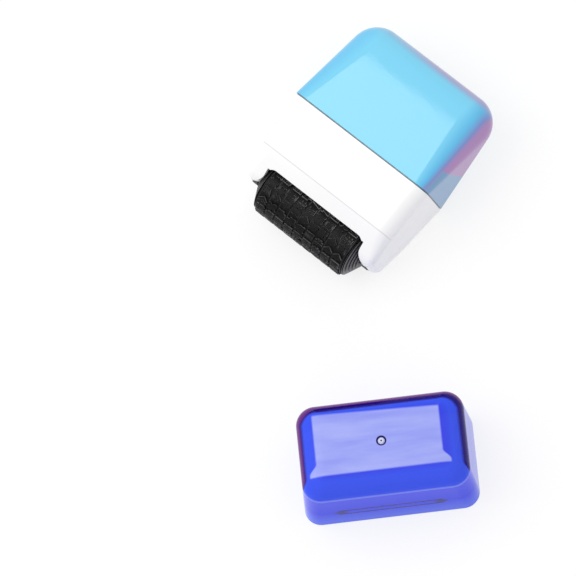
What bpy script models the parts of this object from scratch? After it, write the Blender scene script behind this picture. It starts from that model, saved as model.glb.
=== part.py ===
# Privacy roller stamp, lying on its back, with its cap taken off and standing beside it.
# Everything of the stamp is modelled upright about the parting line of its two shells:
# X across the width, Y from front to back, Z up along the body, the roller at the bottom.
# An empty then lays the whole stamp down on the flat back face of its lower housing.
import math

import bmesh
import bpy
from mathutils import Matrix, Vector

# Overall shell, in metres
BODY_DEPTH = 0.0338
CORNER_RADIUS = 0.005
FIT_GAP = 0.0003
CUT_OVERRUN = 0.002

# Upper cover
COVER_HEIGHT = 0.0361
COVER_TOP_RADIUS = 0.0098
COVER_TOP_SETBACK = 0.0043
COVER_WALL = 0.0018
COVER_RIB_THICKNESS = 0.0012
COVER_RIB_DEPTH = 0.0035
COVER_RIB_SPACING = 0.028

# Lower housing
HOUSING_HEIGHT = 0.0309
CREASE_DROP = 0.0191
SIDE_DRAFT = 0.0009
DEPTH_DRAFT = 0.0028
CHAMFER_DEPTH = 0.0072
EAR_CORNER_RADIUS = 0.0022
EAR_EDGE_RADIUS = 0.0028
HOUSING_WALL = 0.0019
SPIGOT_HEIGHT = 0.004
SPIGOT_WALL = 0.0014
OPENING_DROP = 0.0242
OPENING_LAP = 0.0020
OPENING_CORNER = 0.0030
OPENING_FLARE = 0.0042
LIP_GAP = 0.0003

# Stamp roller and its axle
ROLLER_RADIUS = 0.0105
ROLLER_DROP = 0.0276
RELIEF_HEIGHT = 0.0008
RELIEF_GAP = 0.0005
RELIEF_DRAFT = 0.00025
RELIEF_RINGS = 9
RELIEF_ROWS = 18
SLEEVE_LENGTH = 0.0366
SLEEVE_WALL = 0.0020
STAMP_AXLE_RADIUS = 0.0012
CORE_WEB_RADIUS = 0.0042
CORE_RECESS = 0.0050
DISC_LENGTH = 0.0028
DISC_TIP_RADIUS = 0.0046
DISC_RIDGES = 5
DISC_RIDGE_HEIGHT = 0.0003

# Ink roller
INK_RADIUS = 0.007
FELT_WALL = 0.0025
INK_AXLE_RADIUS = 0.0012
INK_CORE_WALL = 0.0024
INK_DISC_LENGTH = 0.0012
INK_TRAVEL = 0.001

# Inner frame, bushes and sprung blocks
FRAME_PLATE = 0.0018
WINDOW_WIDTH = 0.030
WINDOW_DEPTH = 0.011
CHEEK_THICKNESS = 0.0020
CHEEK_LOBE_RADIUS = 0.0036
CHEEK_DEPTH = 0.019
CHEEK_WAIST_DROP = 0.017
BUSH_WALL = 0.0008
BUSH_FLANGE = 0.0003
BUSH_FLANGE_RIM = 0.0010
BLOCK_WIDTH = 0.0046
BLOCK_HEIGHT = 0.0050
SPRING_LENGTH = 0.0052
SPRING_WIRE = 0.00035
SPRING_TURNS = 5

# Cap
CAP_SIDE_GAP = 0.0001
CAP_DEPTH_GAP = 0.0003
CAP_WALL = 0.0009
CAP_TOP_WALL = 0.0013
CAP_SIDE_DRAFT = 0.0013
CAP_DEPTH_DRAFT = 0.0006
CAP_MOUTH_CORNER = 0.0055
CAP_TOP_CORNER = 0.0062
CAP_EDGE_RADIUS = 0.0085
CAP_RIM_DROP = 0.0100
CAP_RIB_HEIGHT = 0.0030
CAP_RIB_THICKNESS = 0.0010
CAP_RIB_REACH = 0.0034
CAP_RIB_SPACING = 0.0080
CAP_BEAD_LENGTH = 0.0350
CAP_BEAD_HEIGHT = 0.0034
CAP_BEAD_SLOPE = 0.0008
CAP_GATE_RADIUS = 0.0016
CAP_GATE_DEPTH = 0.0004

# Where the cap stands, from the middle of the resting face, and how far it is turned
CAP_PLACE_X = 0.0698
CAP_PLACE_Y = -0.0685
CAP_TURN = math.radians(45.6)

# Facets
CORNER_STEPS = 6
ARC_STEPS = 7
EAR_EDGE_STEPS = 3
TURN_STEPS = 40
SMALL_TURN_STEPS = 24
POINTS_PER_TURN = 10
MERGE_DISTANCE = 0.00001
SHARP_ANGLE = math.radians(35)

# Angle by which the drafted back face makes the body lean once it lies down
LEAN = math.atan2(DEPTH_DRAFT, CREASE_DROP)

SLEEVE_HALF = SLEEVE_LENGTH / 2
DISC_START = SLEEVE_HALF + FIT_GAP
DISC_END = DISC_START + DISC_LENGTH
CHEEK_INNER = DISC_END + FIT_GAP + BUSH_FLANGE + FIT_GAP
CHEEK_OUTER = CHEEK_INNER + CHEEK_THICKNESS
OPENING_WIDTH = 2 * (CHEEK_INNER - OPENING_LAP)
BODY_WIDTH = 2 * (CHEEK_OUTER + SPIGOT_WALL + COVER_WALL + 2 * FIT_GAP)
AXLE_HALF = CHEEK_OUTER - FIT_GAP
SLEEVE_RADIUS = ROLLER_RADIUS - RELIEF_HEIGHT
SLEEVE_BORE = SLEEVE_RADIUS - SLEEVE_WALL
INK_DROP = ROLLER_DROP - ROLLER_RADIUS - INK_RADIUS - FIT_GAP
INK_BLOCK_TOP = -INK_DROP + BLOCK_HEIGHT / 2
PLATE_BOTTOM = SPIGOT_HEIGHT + FIT_GAP
PLATE_TOP = PLATE_BOTTOM + FRAME_PLATE
CAP_FOOT = HOUSING_HEIGHT - CAP_RIM_DROP
CAP_HEIGHT = CAP_FOOT + CAP_RIB_HEIGHT + CAP_EDGE_RADIUS


def srgb(red, green, blue):
    def linear(value):
        share = value / 255
        return share / 12.92 if share <= 0.04045 else ((share + 0.055) / 1.055) ** 2.4
    return (linear(red), linear(green), linear(blue), 1.0)


def new_collection(name):
    collection = bpy.data.collections.new(name)
    bpy.context.scene.collection.children.link(collection)
    return collection


def new_material(name, colour, roughness, metallic=0.0, alpha=1.0):
    material = bpy.data.materials.new(name)
    material.use_nodes = True
    shader = material.node_tree.nodes["Principled BSDF"]
    shader.inputs["Base Color"].default_value = colour
    shader.inputs["Roughness"].default_value = roughness
    shader.inputs["Metallic"].default_value = metallic
    shader.inputs["Alpha"].default_value = alpha
    return material


def add_object(name, mesh, collection, parent, material=None):
    piece = bpy.data.objects.new(name, mesh)
    collection.objects.link(piece)
    piece.parent = parent
    if material:
        mesh.materials.append(material)
        mesh.shade_smooth()
        mesh.set_sharp_from_angle(angle=SHARP_ANGLE)
    else:
        piece.hide_render = True
        piece.display_type = "WIRE"
    return piece


def add_empty(name, collection, parent=None, location=(0, 0, 0), rotation=(0, 0, 0)):
    empty = bpy.data.objects.new(name, None)
    collection.objects.link(empty)
    empty.parent = parent
    empty.location = location
    empty.rotation_euler = rotation
    return empty


def mesh_from(bm, name):
    bmesh.ops.recalc_face_normals(bm, faces=bm.faces[:])
    mesh = bpy.data.meshes.new(name)
    bm.to_mesh(mesh)
    bm.free()
    return mesh


def arc(centre, radius, start_degrees, end_degrees, steps):
    points = []
    for step in range(steps + 1):
        angle = math.radians(start_degrees + (end_degrees - start_degrees) * step / steps)
        points.append((centre[0] + radius * math.cos(angle), centre[1] + radius * math.sin(angle)))
    return points


def rounded_ring(half_width, front, back, radius, height):
    """Closed loop of a rectangle with round corners, at one height."""
    right, left = half_width - radius, radius - half_width
    near, far = front + radius, back - radius
    loop = arc((right, far), radius, 0, 90, CORNER_STEPS)
    loop += arc((left, far), radius, 90, 180, CORNER_STEPS)
    loop += arc((left, near), radius, 180, 270, CORNER_STEPS)
    loop += arc((right, near), radius, 270, 360, CORNER_STEPS)
    return [Vector((x, y, height)) for x, y in loop]


def loft_mesh(name, rings):
    """Skin over a run of like rings, closed by a flat face at each end."""
    bm = bmesh.new()
    loops = [[bm.verts.new(point) for point in ring] for ring in rings]
    for lower, upper in zip(loops, loops[1:]):
        for index, vertex in enumerate(lower):
            following = (index + 1) % len(lower)
            bm.faces.new((vertex, lower[following], upper[following], upper[index]))
    bm.faces.new(loops[0])
    bm.faces.new(loops[-1])
    return mesh_from(bm, name)


def prism_mesh(name, outline, low, high, along):
    """Flat outline pushed from low to high along one axis."""
    def place(pair, distance):
        first, second = pair
        if along == "X":
            return (distance, first, second)
        if along == "Y":
            return (first, distance, second)
        return (first, second, distance)
    bm = bmesh.new()
    face = bm.faces.new([bm.verts.new(place(pair, low)) for pair in outline])
    pushed = bmesh.ops.extrude_face_region(bm, geom=[face])
    moved = [item for item in pushed["geom"] if isinstance(item, bmesh.types.BMVert)]
    bmesh.ops.translate(bm, verts=moved, vec=Vector(place((0, 0), high - low)))
    return mesh_from(bm, name)


def box_outline(first_low, first_high, second_low, second_high):
    return [(first_low, second_low), (first_high, second_low),
            (first_high, second_high), (first_low, second_high)]


def profile_mesh(name, profile):
    """Open or closed line of radius and height pairs, for a Screw modifier."""
    mesh = bpy.data.meshes.new(name)
    points = [(radius, 0, height) for radius, height in profile]
    edges = [(index, (index + 1) % len(points)) for index in range(len(points))]
    mesh.from_pydata(points, edges, [])
    return mesh


def add_turned(name, profile, collection, parent, material=None, steps=TURN_STEPS, flip=False):
    """Turned piece about the body's X axis; its profile runs down the outside and up the bore."""
    piece = bpy.data.objects.new(name, profile_mesh(name, profile))
    collection.objects.link(piece)
    piece.parent = parent
    piece.rotation_euler = (0, math.radians(-90 if flip else 90), 0)
    turn = piece.modifiers.new("Turn", "SCREW")
    turn.axis = "Z"
    turn.steps = steps
    turn.render_steps = steps
    turn.use_merge_vertices = True
    turn.merge_threshold = MERGE_DISTANCE
    turn.use_smooth_shade = True
    if material:
        piece.data.materials.append(material)
    else:
        piece.hide_render = True
        piece.display_type = "WIRE"
    return piece


def tube_profile(outer, bore, half_length):
    return [(outer, half_length), (outer, -half_length), (bore, -half_length), (bore, half_length)]


def add_rod(name, radius, half_length, chamfer, collection, parent, material):
    bm = bmesh.new()
    bmesh.ops.create_cone(bm, cap_ends=True, segments=SMALL_TURN_STEPS, radius1=radius, radius2=radius,
                          depth=2 * half_length, matrix=Matrix.Rotation(math.radians(90), 4, "Y"))
    ends = [edge for edge in bm.edges if len({round(vertex.co.x, 6) for vertex in edge.verts}) == 1]
    bmesh.ops.bevel(bm, geom=ends, offset=chamfer, segments=1, affect="EDGES", profile=0.5, material=-1)
    return add_object(name, mesh_from(bm, name), collection, parent, material)


def combine(piece, other, operation):
    step = piece.modifiers.new(operation.title(), "BOOLEAN")
    step.operation = operation
    step.object = other
    step.solver = "EXACT"


class CoverShape:
    """Outer form of the cover: a leaning front, a round top and a nearly upright back."""

    def __init__(self):
        self.centre_height = COVER_HEIGHT - COVER_TOP_RADIUS
        self.centre_depth = BODY_DEPTH / 2 - COVER_TOP_SETBACK - COVER_TOP_RADIUS
        self.front_lean = self.lean(self.centre_depth + BODY_DEPTH / 2)
        self.back_lean = self.lean(BODY_DEPTH / 2 - self.centre_depth)

    def lean(self, foot_distance):
        """Angle from upright of the line from the parting edge that just touches the top arc."""
        reach = math.hypot(foot_distance, self.centre_height)
        return math.atan2(foot_distance, self.centre_height) - math.asin(COVER_TOP_RADIUS / reach)

    def front(self, height, inset):
        return -BODY_DEPTH / 2 + height * math.tan(self.front_lean) + inset / math.cos(self.front_lean)

    def back(self, height, inset):
        return BODY_DEPTH / 2 - height * math.tan(self.back_lean) - inset / math.cos(self.back_lean)

    def corner(self, height, inset):
        share = height / self.centre_height
        return CORNER_RADIUS + (COVER_TOP_RADIUS - CORNER_RADIUS) * share - inset

    def wall_section(self, height, inset):
        front, back = self.front(height, inset), self.back(height, inset)
        radius = max(self.corner(height, inset), COVER_WALL / 3)
        return (BODY_WIDTH / 2 - inset, front, back, radius, height)

    def top_section(self, angle, inset):
        radius = COVER_TOP_RADIUS - inset
        height = self.centre_height + radius * math.sin(angle)
        reach = radius * math.cos(angle)
        on_plane = angle < self.front_lean
        front = self.front(height, inset) if on_plane else self.centre_depth - reach
        back = self.back(height, inset) if angle < self.back_lean else self.centre_depth + reach
        half_width = BODY_WIDTH / 2 - inset - radius + reach
        corner = min(reach, (back - front) / 2) - MERGE_DISTANCE
        return (half_width, front, back, corner, height)

    def sections(self, inset, foot):
        heights = [foot + (self.centre_height - foot) * step / 3 for step in range(3)]
        angles = [math.radians(degrees) for degrees in (0, 12, 24, 36, 48, 60, 70, 78, 84)]
        walls = [self.wall_section(height, inset) for height in heights]
        return walls + [self.top_section(angle, inset) for angle in angles]

    def side_outline(self, inset, foot):
        """Outline in depth and height, up the front, over the top and down the back."""
        sections = self.sections(inset, foot)
        up = [(section[1], section[4]) for section in sections]
        down = [(section[2], section[4]) for section in reversed(sections)]
        return up + down


def housing_half_depth(height, inset=0.0):
    """Half depth of the drafted housing at a height below the parting line."""
    return BODY_DEPTH / 2 - DEPTH_DRAFT * (-height / CREASE_DROP) - inset


def housing_half_width(height, inset=0.0):
    return BODY_WIDTH / 2 - SIDE_DRAFT * (-height / CREASE_DROP) - inset


def chamfer_half_depth(height, inset=0.0):
    """Half depth on the slanted faces between the crease and the tips of the ears."""
    run = HOUSING_HEIGHT - CREASE_DROP
    share = (-height - CREASE_DROP) / run
    slant = math.hypot(run, CHAMFER_DEPTH) / run
    return housing_half_depth(-CREASE_DROP) - CHAMFER_DEPTH * share - inset * slant


def ear_corner(height):
    """Corner radius of the ears, which shrinks from the crease to their tips."""
    share = (-height - CREASE_DROP) / (HOUSING_HEIGHT - CREASE_DROP)
    return CORNER_RADIUS + (EAR_CORNER_RADIUS - CORNER_RADIUS) * share


def housing_section(half_width, half_depth, radius, height):
    """Ring of the housing, whose corners are never rounder than its own depth has room for."""
    radius = min(radius, half_depth - MERGE_DISTANCE)
    return rounded_ring(half_width, -half_depth, half_depth, radius, height)


def housing_outer_rings():
    rings = []
    for across, down in arc((0, 0), EAR_EDGE_RADIUS, 270, 360, EAR_EDGE_STEPS):
        height = -HOUSING_HEIGHT + EAR_EDGE_RADIUS + down
        inset = EAR_EDGE_RADIUS - across
        half_width = housing_half_width(height, inset)
        half_depth = chamfer_half_depth(height, inset)
        rings.append(housing_section(half_width, half_depth, ear_corner(height), height))
    for height in (-CREASE_DROP, 0):
        half_width, half_depth = housing_half_width(height), housing_half_depth(height)
        rings.append(housing_section(half_width, half_depth, CORNER_RADIUS, height))
    return rings


def spigot_ring(cover, height, inset):
    return rounded_ring(*cover.wall_section(height, inset))


def housing_inner_rings():
    """Inside of the housing from just under the spigot down to the floor of the ears."""
    radius = CORNER_RADIUS - HOUSING_WALL / 2
    rings = []
    for height in (-HOUSING_WALL, -CREASE_DROP):
        half_depth = housing_half_depth(height, HOUSING_WALL)
        rings.append(housing_section(housing_half_width(height, HOUSING_WALL), half_depth, radius, height))
    floor = -HOUSING_HEIGHT + HOUSING_WALL
    half_width = housing_half_width(floor, HOUSING_WALL)
    rings.append(housing_section(half_width, chamfer_half_depth(floor, HOUSING_WALL), radius, floor))
    return rings


def opening_outline():
    """Front view of the roller opening: round top corners, and ears that flare at their tips."""
    half = OPENING_WIDTH / 2
    flare = half + OPENING_FLARE
    knee = -HOUSING_HEIGHT + OPENING_FLARE
    below = -HOUSING_HEIGHT - CUT_OVERRUN
    side = arc((half - OPENING_CORNER, -OPENING_DROP - OPENING_CORNER), OPENING_CORNER, 90, 0, CORNER_STEPS)
    side += arc((flare, knee), OPENING_FLARE, 180, 270, CORNER_STEPS)[1:]
    side.append((flare, below))
    return side + [(-x, z) for x, z in reversed(side)]


def make_upper_cover(cover, model, cutters, parent, material):
    outer = [rounded_ring(*section) for section in cover.sections(0, 0)]
    inner = [rounded_ring(*section) for section in cover.sections(COVER_WALL, 0)]
    shell = loft_mesh("upper_cover", outer[::-1] + inner)
    piece = add_object("upper_cover", shell, model, parent, material)
    band = cover.side_outline(COVER_WALL / 2, PLATE_TOP + FIT_GAP)
    hollow = cover.side_outline(COVER_WALL + COVER_RIB_DEPTH, PLATE_TOP + FIT_GAP)
    for side in (-1, 1):
        middle = side * COVER_RIB_SPACING / 2
        low, high = middle - COVER_RIB_THICKNESS / 2, middle + COVER_RIB_THICKNESS / 2
        rib = prism_mesh("cover_rib", band + hollow[::-1], low, high, "X")
        combine(piece, add_object("cover_rib_tool", rib, cutters, parent), "UNION")


def roller_room():
    """Half of a section through the room for the roller, whose cones reach in behind the ears."""
    half, tip = OPENING_WIDTH / 2, DISC_END + FIT_GAP
    slope = (SLEEVE_RADIUS - DISC_TIP_RADIUS) / DISC_LENGTH
    side = [(DISC_TIP_RADIUS + FIT_GAP, tip), (DISC_TIP_RADIUS + FIT_GAP + slope * (tip - half), half),
            (ROLLER_RADIUS + LIP_GAP, half)]
    outside = side + [(radius, -place) for radius, place in reversed(side)]
    return outside + [(0, -tip), (0, tip)]


def make_lower_housing(cover, model, cutters, parent, material):
    spigot_inset = COVER_WALL + FIT_GAP
    inner_inset = spigot_inset + SPIGOT_WALL
    spigot = [spigot_ring(cover, 0, spigot_inset), spigot_ring(cover, SPIGOT_HEIGHT, spigot_inset),
              spigot_ring(cover, SPIGOT_HEIGHT, inner_inset), spigot_ring(cover, 0, inner_inset)]
    shell = loft_mesh("lower_housing", housing_outer_rings() + spigot + housing_inner_rings())
    piece = add_object("lower_housing", shell, model, parent, material)
    reach = BODY_DEPTH / 2 + CUT_OVERRUN
    opening = prism_mesh("roller_opening", opening_outline(), -reach, reach, "Y")
    combine(piece, add_object("roller_opening_tool", opening, cutters, parent), "DIFFERENCE")
    seat = add_turned("roller_bore_tool", roller_room(), cutters, parent)
    seat.location = (0, 0, -ROLLER_DROP)
    combine(piece, seat, "DIFFERENCE")
    half = CHEEK_LOBE_RADIUS + FIT_GAP
    slot = box_outline(-half, half, -HOUSING_HEIGHT - CUT_OVERRUN,
                       -HOUSING_HEIGHT + HOUSING_WALL + CUT_OVERRUN)
    for side in (-1, 1):
        low, high = sorted((side * (CHEEK_INNER - CUT_OVERRUN), side * (CHEEK_OUTER + FIT_GAP)))
        foot = prism_mesh("foot_slot", slot, low, high, "X")
        combine(piece, add_object("foot_slot_tool", foot, cutters, parent), "DIFFERENCE")


def cheek_outline():
    """Side view of one cheek: a lobe round the stamp axle under a wide, straight-sided plate."""
    half = CHEEK_DEPTH / 2
    lobe = arc((0, -ROLLER_DROP), CHEEK_LOBE_RADIUS, 180, 360, 2 * CORNER_STEPS)
    top = PLATE_BOTTOM + FRAME_PLATE / 2
    return lobe + [(half, -CHEEK_WAIST_DROP), (half, top), (-half, top), (-half, -CHEEK_WAIST_DROP)]


def make_inner_frame(cover, model, cutters, parent, material):
    inset = COVER_WALL + FIT_GAP
    half_width, front, back, radius, _ = cover.wall_section(PLATE_TOP, inset)
    plate = [rounded_ring(half_width, front, back, radius, height) for height in (PLATE_BOTTOM, PLATE_TOP)]
    piece = add_object("inner_frame", loft_mesh("inner_frame", plate), model, parent, material)
    slot_top = INK_BLOCK_TOP + INK_TRAVEL + SPRING_LENGTH
    slot = box_outline(-BLOCK_WIDTH / 2 - FIT_GAP, BLOCK_WIDTH / 2 + FIT_GAP,
                       -INK_DROP - BLOCK_HEIGHT / 2 - FIT_GAP, slot_top)
    bush_hole = STAMP_AXLE_RADIUS + FIT_GAP + BUSH_WALL + FIT_GAP
    for side in (-1, 1):
        low, high = sorted((side * CHEEK_INNER, side * CHEEK_OUTER))
        cheek = prism_mesh("cheek", cheek_outline(), low, high, "X")
        combine(piece, add_object("cheek_tool", cheek, cutters, parent), "UNION")
        low, high = low - CUT_OVERRUN / 2, high + CUT_OVERRUN / 2
        slot_mesh = prism_mesh("slot", slot, low, high, "X")
        combine(piece, add_object("slot_tool", slot_mesh, cutters, parent), "DIFFERENCE")
        hole = arc((0, -ROLLER_DROP), bush_hole, 0, 360, SMALL_TURN_STEPS)[:-1]
        hole_mesh = prism_mesh("bush_hole", hole, low, high, "X")
        combine(piece, add_object("bush_tool", hole_mesh, cutters, parent), "DIFFERENCE")
    window = box_outline(-WINDOW_WIDTH / 2, WINDOW_WIDTH / 2, -WINDOW_DEPTH / 2, WINDOW_DEPTH / 2)
    high = PLATE_TOP + CUT_OVERRUN
    window_mesh = prism_mesh("window", window, PLATE_BOTTOM - CUT_OVERRUN, high, "Z")
    combine(piece, add_object("window_tool", window_mesh, cutters, parent), "DIFFERENCE")


def make_bushes(model, parent, material):
    bore = STAMP_AXLE_RADIUS + FIT_GAP
    outer = bore + BUSH_WALL
    flange = outer + BUSH_FLANGE_RIM
    inner_end = CHEEK_INNER - FIT_GAP
    profile = [(outer, CHEEK_OUTER), (outer, inner_end), (flange, inner_end),
               (flange, inner_end - BUSH_FLANGE), (bore, inner_end - BUSH_FLANGE), (bore, CHEEK_OUTER)]
    for name, flip in (("axle_bush_right", False), ("axle_bush_left", True)):
        bush = add_turned(name, profile, model, parent, material, SMALL_TURN_STEPS, flip)
        bush.location = (0, 0, -ROLLER_DROP)


def disc_profile():
    """Ridged cone that closes one end of the stamp roller."""
    bore = STAMP_AXLE_RADIUS + FIT_GAP
    tip = [(bore, DISC_START), (bore, DISC_END), (DISC_TIP_RADIUS, DISC_END)]
    cone = []
    step = DISC_LENGTH / DISC_RIDGES
    fall = (SLEEVE_RADIUS - DISC_TIP_RADIUS) / DISC_RIDGES
    for ridge in range(DISC_RIDGES):
        radius = DISC_TIP_RADIUS + fall * (ridge + 1)
        place = DISC_END - step * (ridge + 1)
        cone.append((radius - DISC_RIDGE_HEIGHT, place + step / 2))
        cone.append((radius, place + step / 4))
    cone.append((SLEEVE_RADIUS, DISC_START))
    return tip + cone


def make_stamp_roller(model, parent, materials):
    half = SLEEVE_HALF
    outer = SLEEVE_BORE - FIT_GAP
    bore = STAMP_AXLE_RADIUS + FIT_GAP
    web = outer - SLEEVE_WALL
    core = [(outer, half), (outer, -half), (web, -half), (web, -half + CORE_RECESS),
            (CORE_WEB_RADIUS, -half + CORE_RECESS), (CORE_WEB_RADIUS, -half), (bore, -half), (bore, half),
            (CORE_WEB_RADIUS, half), (CORE_WEB_RADIUS, half - CORE_RECESS),
            (web, half - CORE_RECESS), (web, half)]
    add_turned("stamp_core", core, model, parent, materials["core"])
    for name, flip in (("end_disc_right", False), ("end_disc_left", True)):
        add_turned(name, disc_profile(), model, parent, materials["black"], TURN_STEPS, flip)
    chamfer = STAMP_AXLE_RADIUS / 4
    add_rod("stamp_axle", STAMP_AXLE_RADIUS, AXLE_HALF, chamfer, model, parent, materials["steel"])
    make_sleeve(model, parent, materials["rubber"])


def make_sleeve(model, parent, material):
    """Rubber sleeve whose rings of raised blocks are inset and lifted from a plain tube."""
    band = (SLEEVE_LENGTH - 2 * RELIEF_GAP) / RELIEF_RINGS
    stations = [-SLEEVE_HALF, *(-SLEEVE_HALF + RELIEF_GAP + band * ring for ring in range(RELIEF_RINGS + 1)),
                SLEEVE_HALF]
    profile = [(SLEEVE_RADIUS, station) for station in stations]
    profile += [(SLEEVE_BORE, SLEEVE_HALF), (SLEEVE_BORE, -SLEEVE_HALF)]
    bm = bmesh.new()
    verts = [bm.verts.new((station, radius, 0)) for radius, station in profile]
    edges = [bm.edges.new((verts[index - 1], verts[index])) for index in range(len(verts))]
    bmesh.ops.spin(bm, geom=verts + edges, cent=(0, 0, 0), axis=(1, 0, 0), angle=math.tau,
                   steps=RELIEF_ROWS, use_merge=True)
    bmesh.ops.remove_doubles(bm, verts=bm.verts[:], dist=MERGE_DISTANCE)
    bmesh.ops.recalc_face_normals(bm, faces=bm.faces[:])
    inner_limit = (SLEEVE_BORE + SLEEVE_RADIUS) / 2
    end_limit = SLEEVE_HALF - RELIEF_GAP
    blocks = []
    for face in bm.faces:
        place = face.calc_center_median()
        if math.hypot(place.y, place.z) > inner_limit and abs(place.x) < end_limit:
            blocks.append(face)
    bmesh.ops.inset_individual(bm, faces=blocks, thickness=RELIEF_GAP / 2, use_even_offset=True)
    bmesh.ops.inset_individual(bm, faces=blocks, thickness=RELIEF_DRAFT, depth=RELIEF_HEIGHT,
                               use_even_offset=True)
    add_object("stamp_sleeve", mesh_from(bm, "stamp_sleeve"), model, parent, material)


def make_ink_roller(model, parent, materials):
    felt_bore = INK_RADIUS - FELT_WALL
    core_outer = felt_bore - FIT_GAP
    core_bore = max(core_outer - INK_CORE_WALL, INK_AXLE_RADIUS + FIT_GAP)
    add_turned("ink_felt", tube_profile(INK_RADIUS, felt_bore, SLEEVE_HALF), model, parent, materials["felt"])
    add_turned("ink_core", tube_profile(core_outer, core_bore, SLEEVE_HALF), model, parent, materials["core"],
               SMALL_TURN_STEPS)
    bore = INK_AXLE_RADIUS + FIT_GAP
    rim = INK_RADIUS - FIT_GAP
    profile = [(bore, DISC_START), (bore, DISC_START + INK_DISC_LENGTH), (rim, DISC_START + INK_DISC_LENGTH),
               (rim, DISC_START)]
    for name, flip in (("ink_disc_right", False), ("ink_disc_left", True)):
        add_turned(name, profile, model, parent, materials["black"], SMALL_TURN_STEPS, flip)


def make_ink_carriage(model, cutters, parent, materials):
    add_rod("ink_axle", INK_AXLE_RADIUS, AXLE_HALF, INK_AXLE_RADIUS / 4, model, parent, materials["steel"])
    outline = box_outline(-BLOCK_WIDTH / 2, BLOCK_WIDTH / 2, -BLOCK_HEIGHT / 2, BLOCK_HEIGHT / 2)
    hole = arc((0, 0), INK_AXLE_RADIUS + FIT_GAP, 0, 360, SMALL_TURN_STEPS)[:-1]
    for name, side in (("ink_block_right", 1), ("ink_block_left", -1)):
        low, high = sorted((side * CHEEK_INNER, side * CHEEK_OUTER))
        block = add_object(name, prism_mesh(name, outline, low, high, "X"), model, parent, materials["core"])
        low, high = low - CUT_OVERRUN, high + CUT_OVERRUN
        tool = add_object("block_hole_tool", prism_mesh("block_hole", hole, low, high, "X"), cutters, parent)
        combine(block, tool, "DIFFERENCE")


def spring_points(middle_x, foot, length):
    radius = (CHEEK_THICKNESS - SPRING_WIRE) / 2 - FIT_GAP / 2
    count = SPRING_TURNS * POINTS_PER_TURN
    rise = length - SPRING_WIRE
    points = []
    for index in range(count + 1):
        angle = math.tau * index / POINTS_PER_TURN
        height = foot + SPRING_WIRE / 2 + rise * index / count
        points.append(Vector((middle_x + radius * math.cos(angle), radius * math.sin(angle), height)))
    return points


def least_gap(points):
    """Least clear distance between neighbouring turns of a coil."""
    spans = [(points[index + POINTS_PER_TURN] - points[index]).length
             for index in range(len(points) - POINTS_PER_TURN)]
    return min(spans) - SPRING_WIRE


def make_springs(model, parent, material):
    foot = INK_BLOCK_TOP + FIT_GAP
    length = SPRING_LENGTH + INK_TRAVEL - 2 * FIT_GAP
    for name, side in (("ink_spring_right", 1), ("ink_spring_left", -1)):
        points = spring_points(side * (CHEEK_INNER + CHEEK_OUTER) / 2, foot, length)
        curve = bpy.data.curves.new(name, "CURVE")
        curve.dimensions = "3D"
        curve.bevel_depth = SPRING_WIRE / 2
        curve.bevel_resolution = 1
        curve.use_fill_caps = True
        spline = curve.splines.new("POLY")
        spline.points.add(len(points) - 1)
        for point, place in zip(spline.points, points):
            point.co = (*place, 1)
        curve.materials.append(material)
        piece = bpy.data.objects.new(name, curve)
        model.objects.link(piece)
        piece.parent = parent
        print(f"{name}: least gap between turns {least_gap(points) * 1000:.2f} mm")


def cap_half_width(share):
    """Half width outside, from the rim at share 0 to the shoulder at share 1."""
    return housing_half_width(-CAP_RIM_DROP) + CAP_SIDE_GAP + CAP_WALL - CAP_SIDE_DRAFT * share


def cap_half_depth(share):
    return housing_half_depth(-CAP_RIM_DROP) + CAP_DEPTH_GAP + CAP_WALL - CAP_DEPTH_DRAFT * share


def cap_rings(inset, top):
    """Rings of the cap from its rim up, with the walls' draft and a round upper edge."""
    def ring(height, share, shrink):
        half_width = cap_half_width(share) - inset - shrink
        half_depth = cap_half_depth(share) - inset - shrink
        corner = CAP_MOUTH_CORNER + (CAP_TOP_CORNER - CAP_MOUTH_CORNER) * share
        radius = max(corner - inset - shrink / 2, CAP_WALL)
        return rounded_ring(half_width, -half_depth, half_depth, radius, height)
    edge = CAP_EDGE_RADIUS - inset
    rings = [ring((top - edge) * share, share, 0) for share in (0, 0.5, 1)]
    for step in range(1, ARC_STEPS + 1):
        angle = math.radians(90) * step / ARC_STEPS
        rings.append(ring(top - edge + edge * math.sin(angle), 1, edge * (1 - math.cos(angle))))
    return rings


def add_cap_ribs(piece, cutters, parent):
    """Upright ribs on the short walls: the tips of the housing's ears stand on them."""
    top = CAP_HEIGHT - CAP_EDGE_RADIUS / 2
    wall = cap_half_width(1) - CAP_WALL / 2
    shoulder = CAP_HEIGHT - CAP_EDGE_RADIUS
    outline = [(wall - CAP_RIB_REACH, CAP_FOOT), (wall, CAP_FOOT), (wall, shoulder),
               (wall - CAP_RIB_REACH, top)]
    for side in (-1, 1):
        for face in (-1, 1):
            middle = face * CAP_RIB_SPACING / 2
            low, high = middle - CAP_RIB_THICKNESS / 2, middle + CAP_RIB_THICKNESS / 2
            rib = prism_mesh("cap_rib", [(side * x, z) for x, z in outline], low, high, "Y")
            combine(piece, add_object("cap_rib_tool", rib, cutters, parent), "UNION")


def add_cap_beads(piece, cutters, parent):
    """Long beads on the wide walls: they sit just past the housing's crease."""
    inner = housing_half_depth(-CREASE_DROP) + FIT_GAP
    wall = cap_half_depth(1)
    foot = CREASE_DROP - CAP_RIM_DROP + FIT_GAP
    top = foot + CAP_BEAD_HEIGHT
    outline = [(wall, foot), (inner, foot + CAP_BEAD_SLOPE), (inner, top - CAP_BEAD_SLOPE), (wall, top)]
    for face in (-1, 1):
        bead = prism_mesh("cap_bead", [(face * y, z) for y, z in outline],
                          -CAP_BEAD_LENGTH / 2, CAP_BEAD_LENGTH / 2, "X")
        combine(piece, add_object("cap_bead_tool", bead, cutters, parent), "UNION")


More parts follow.
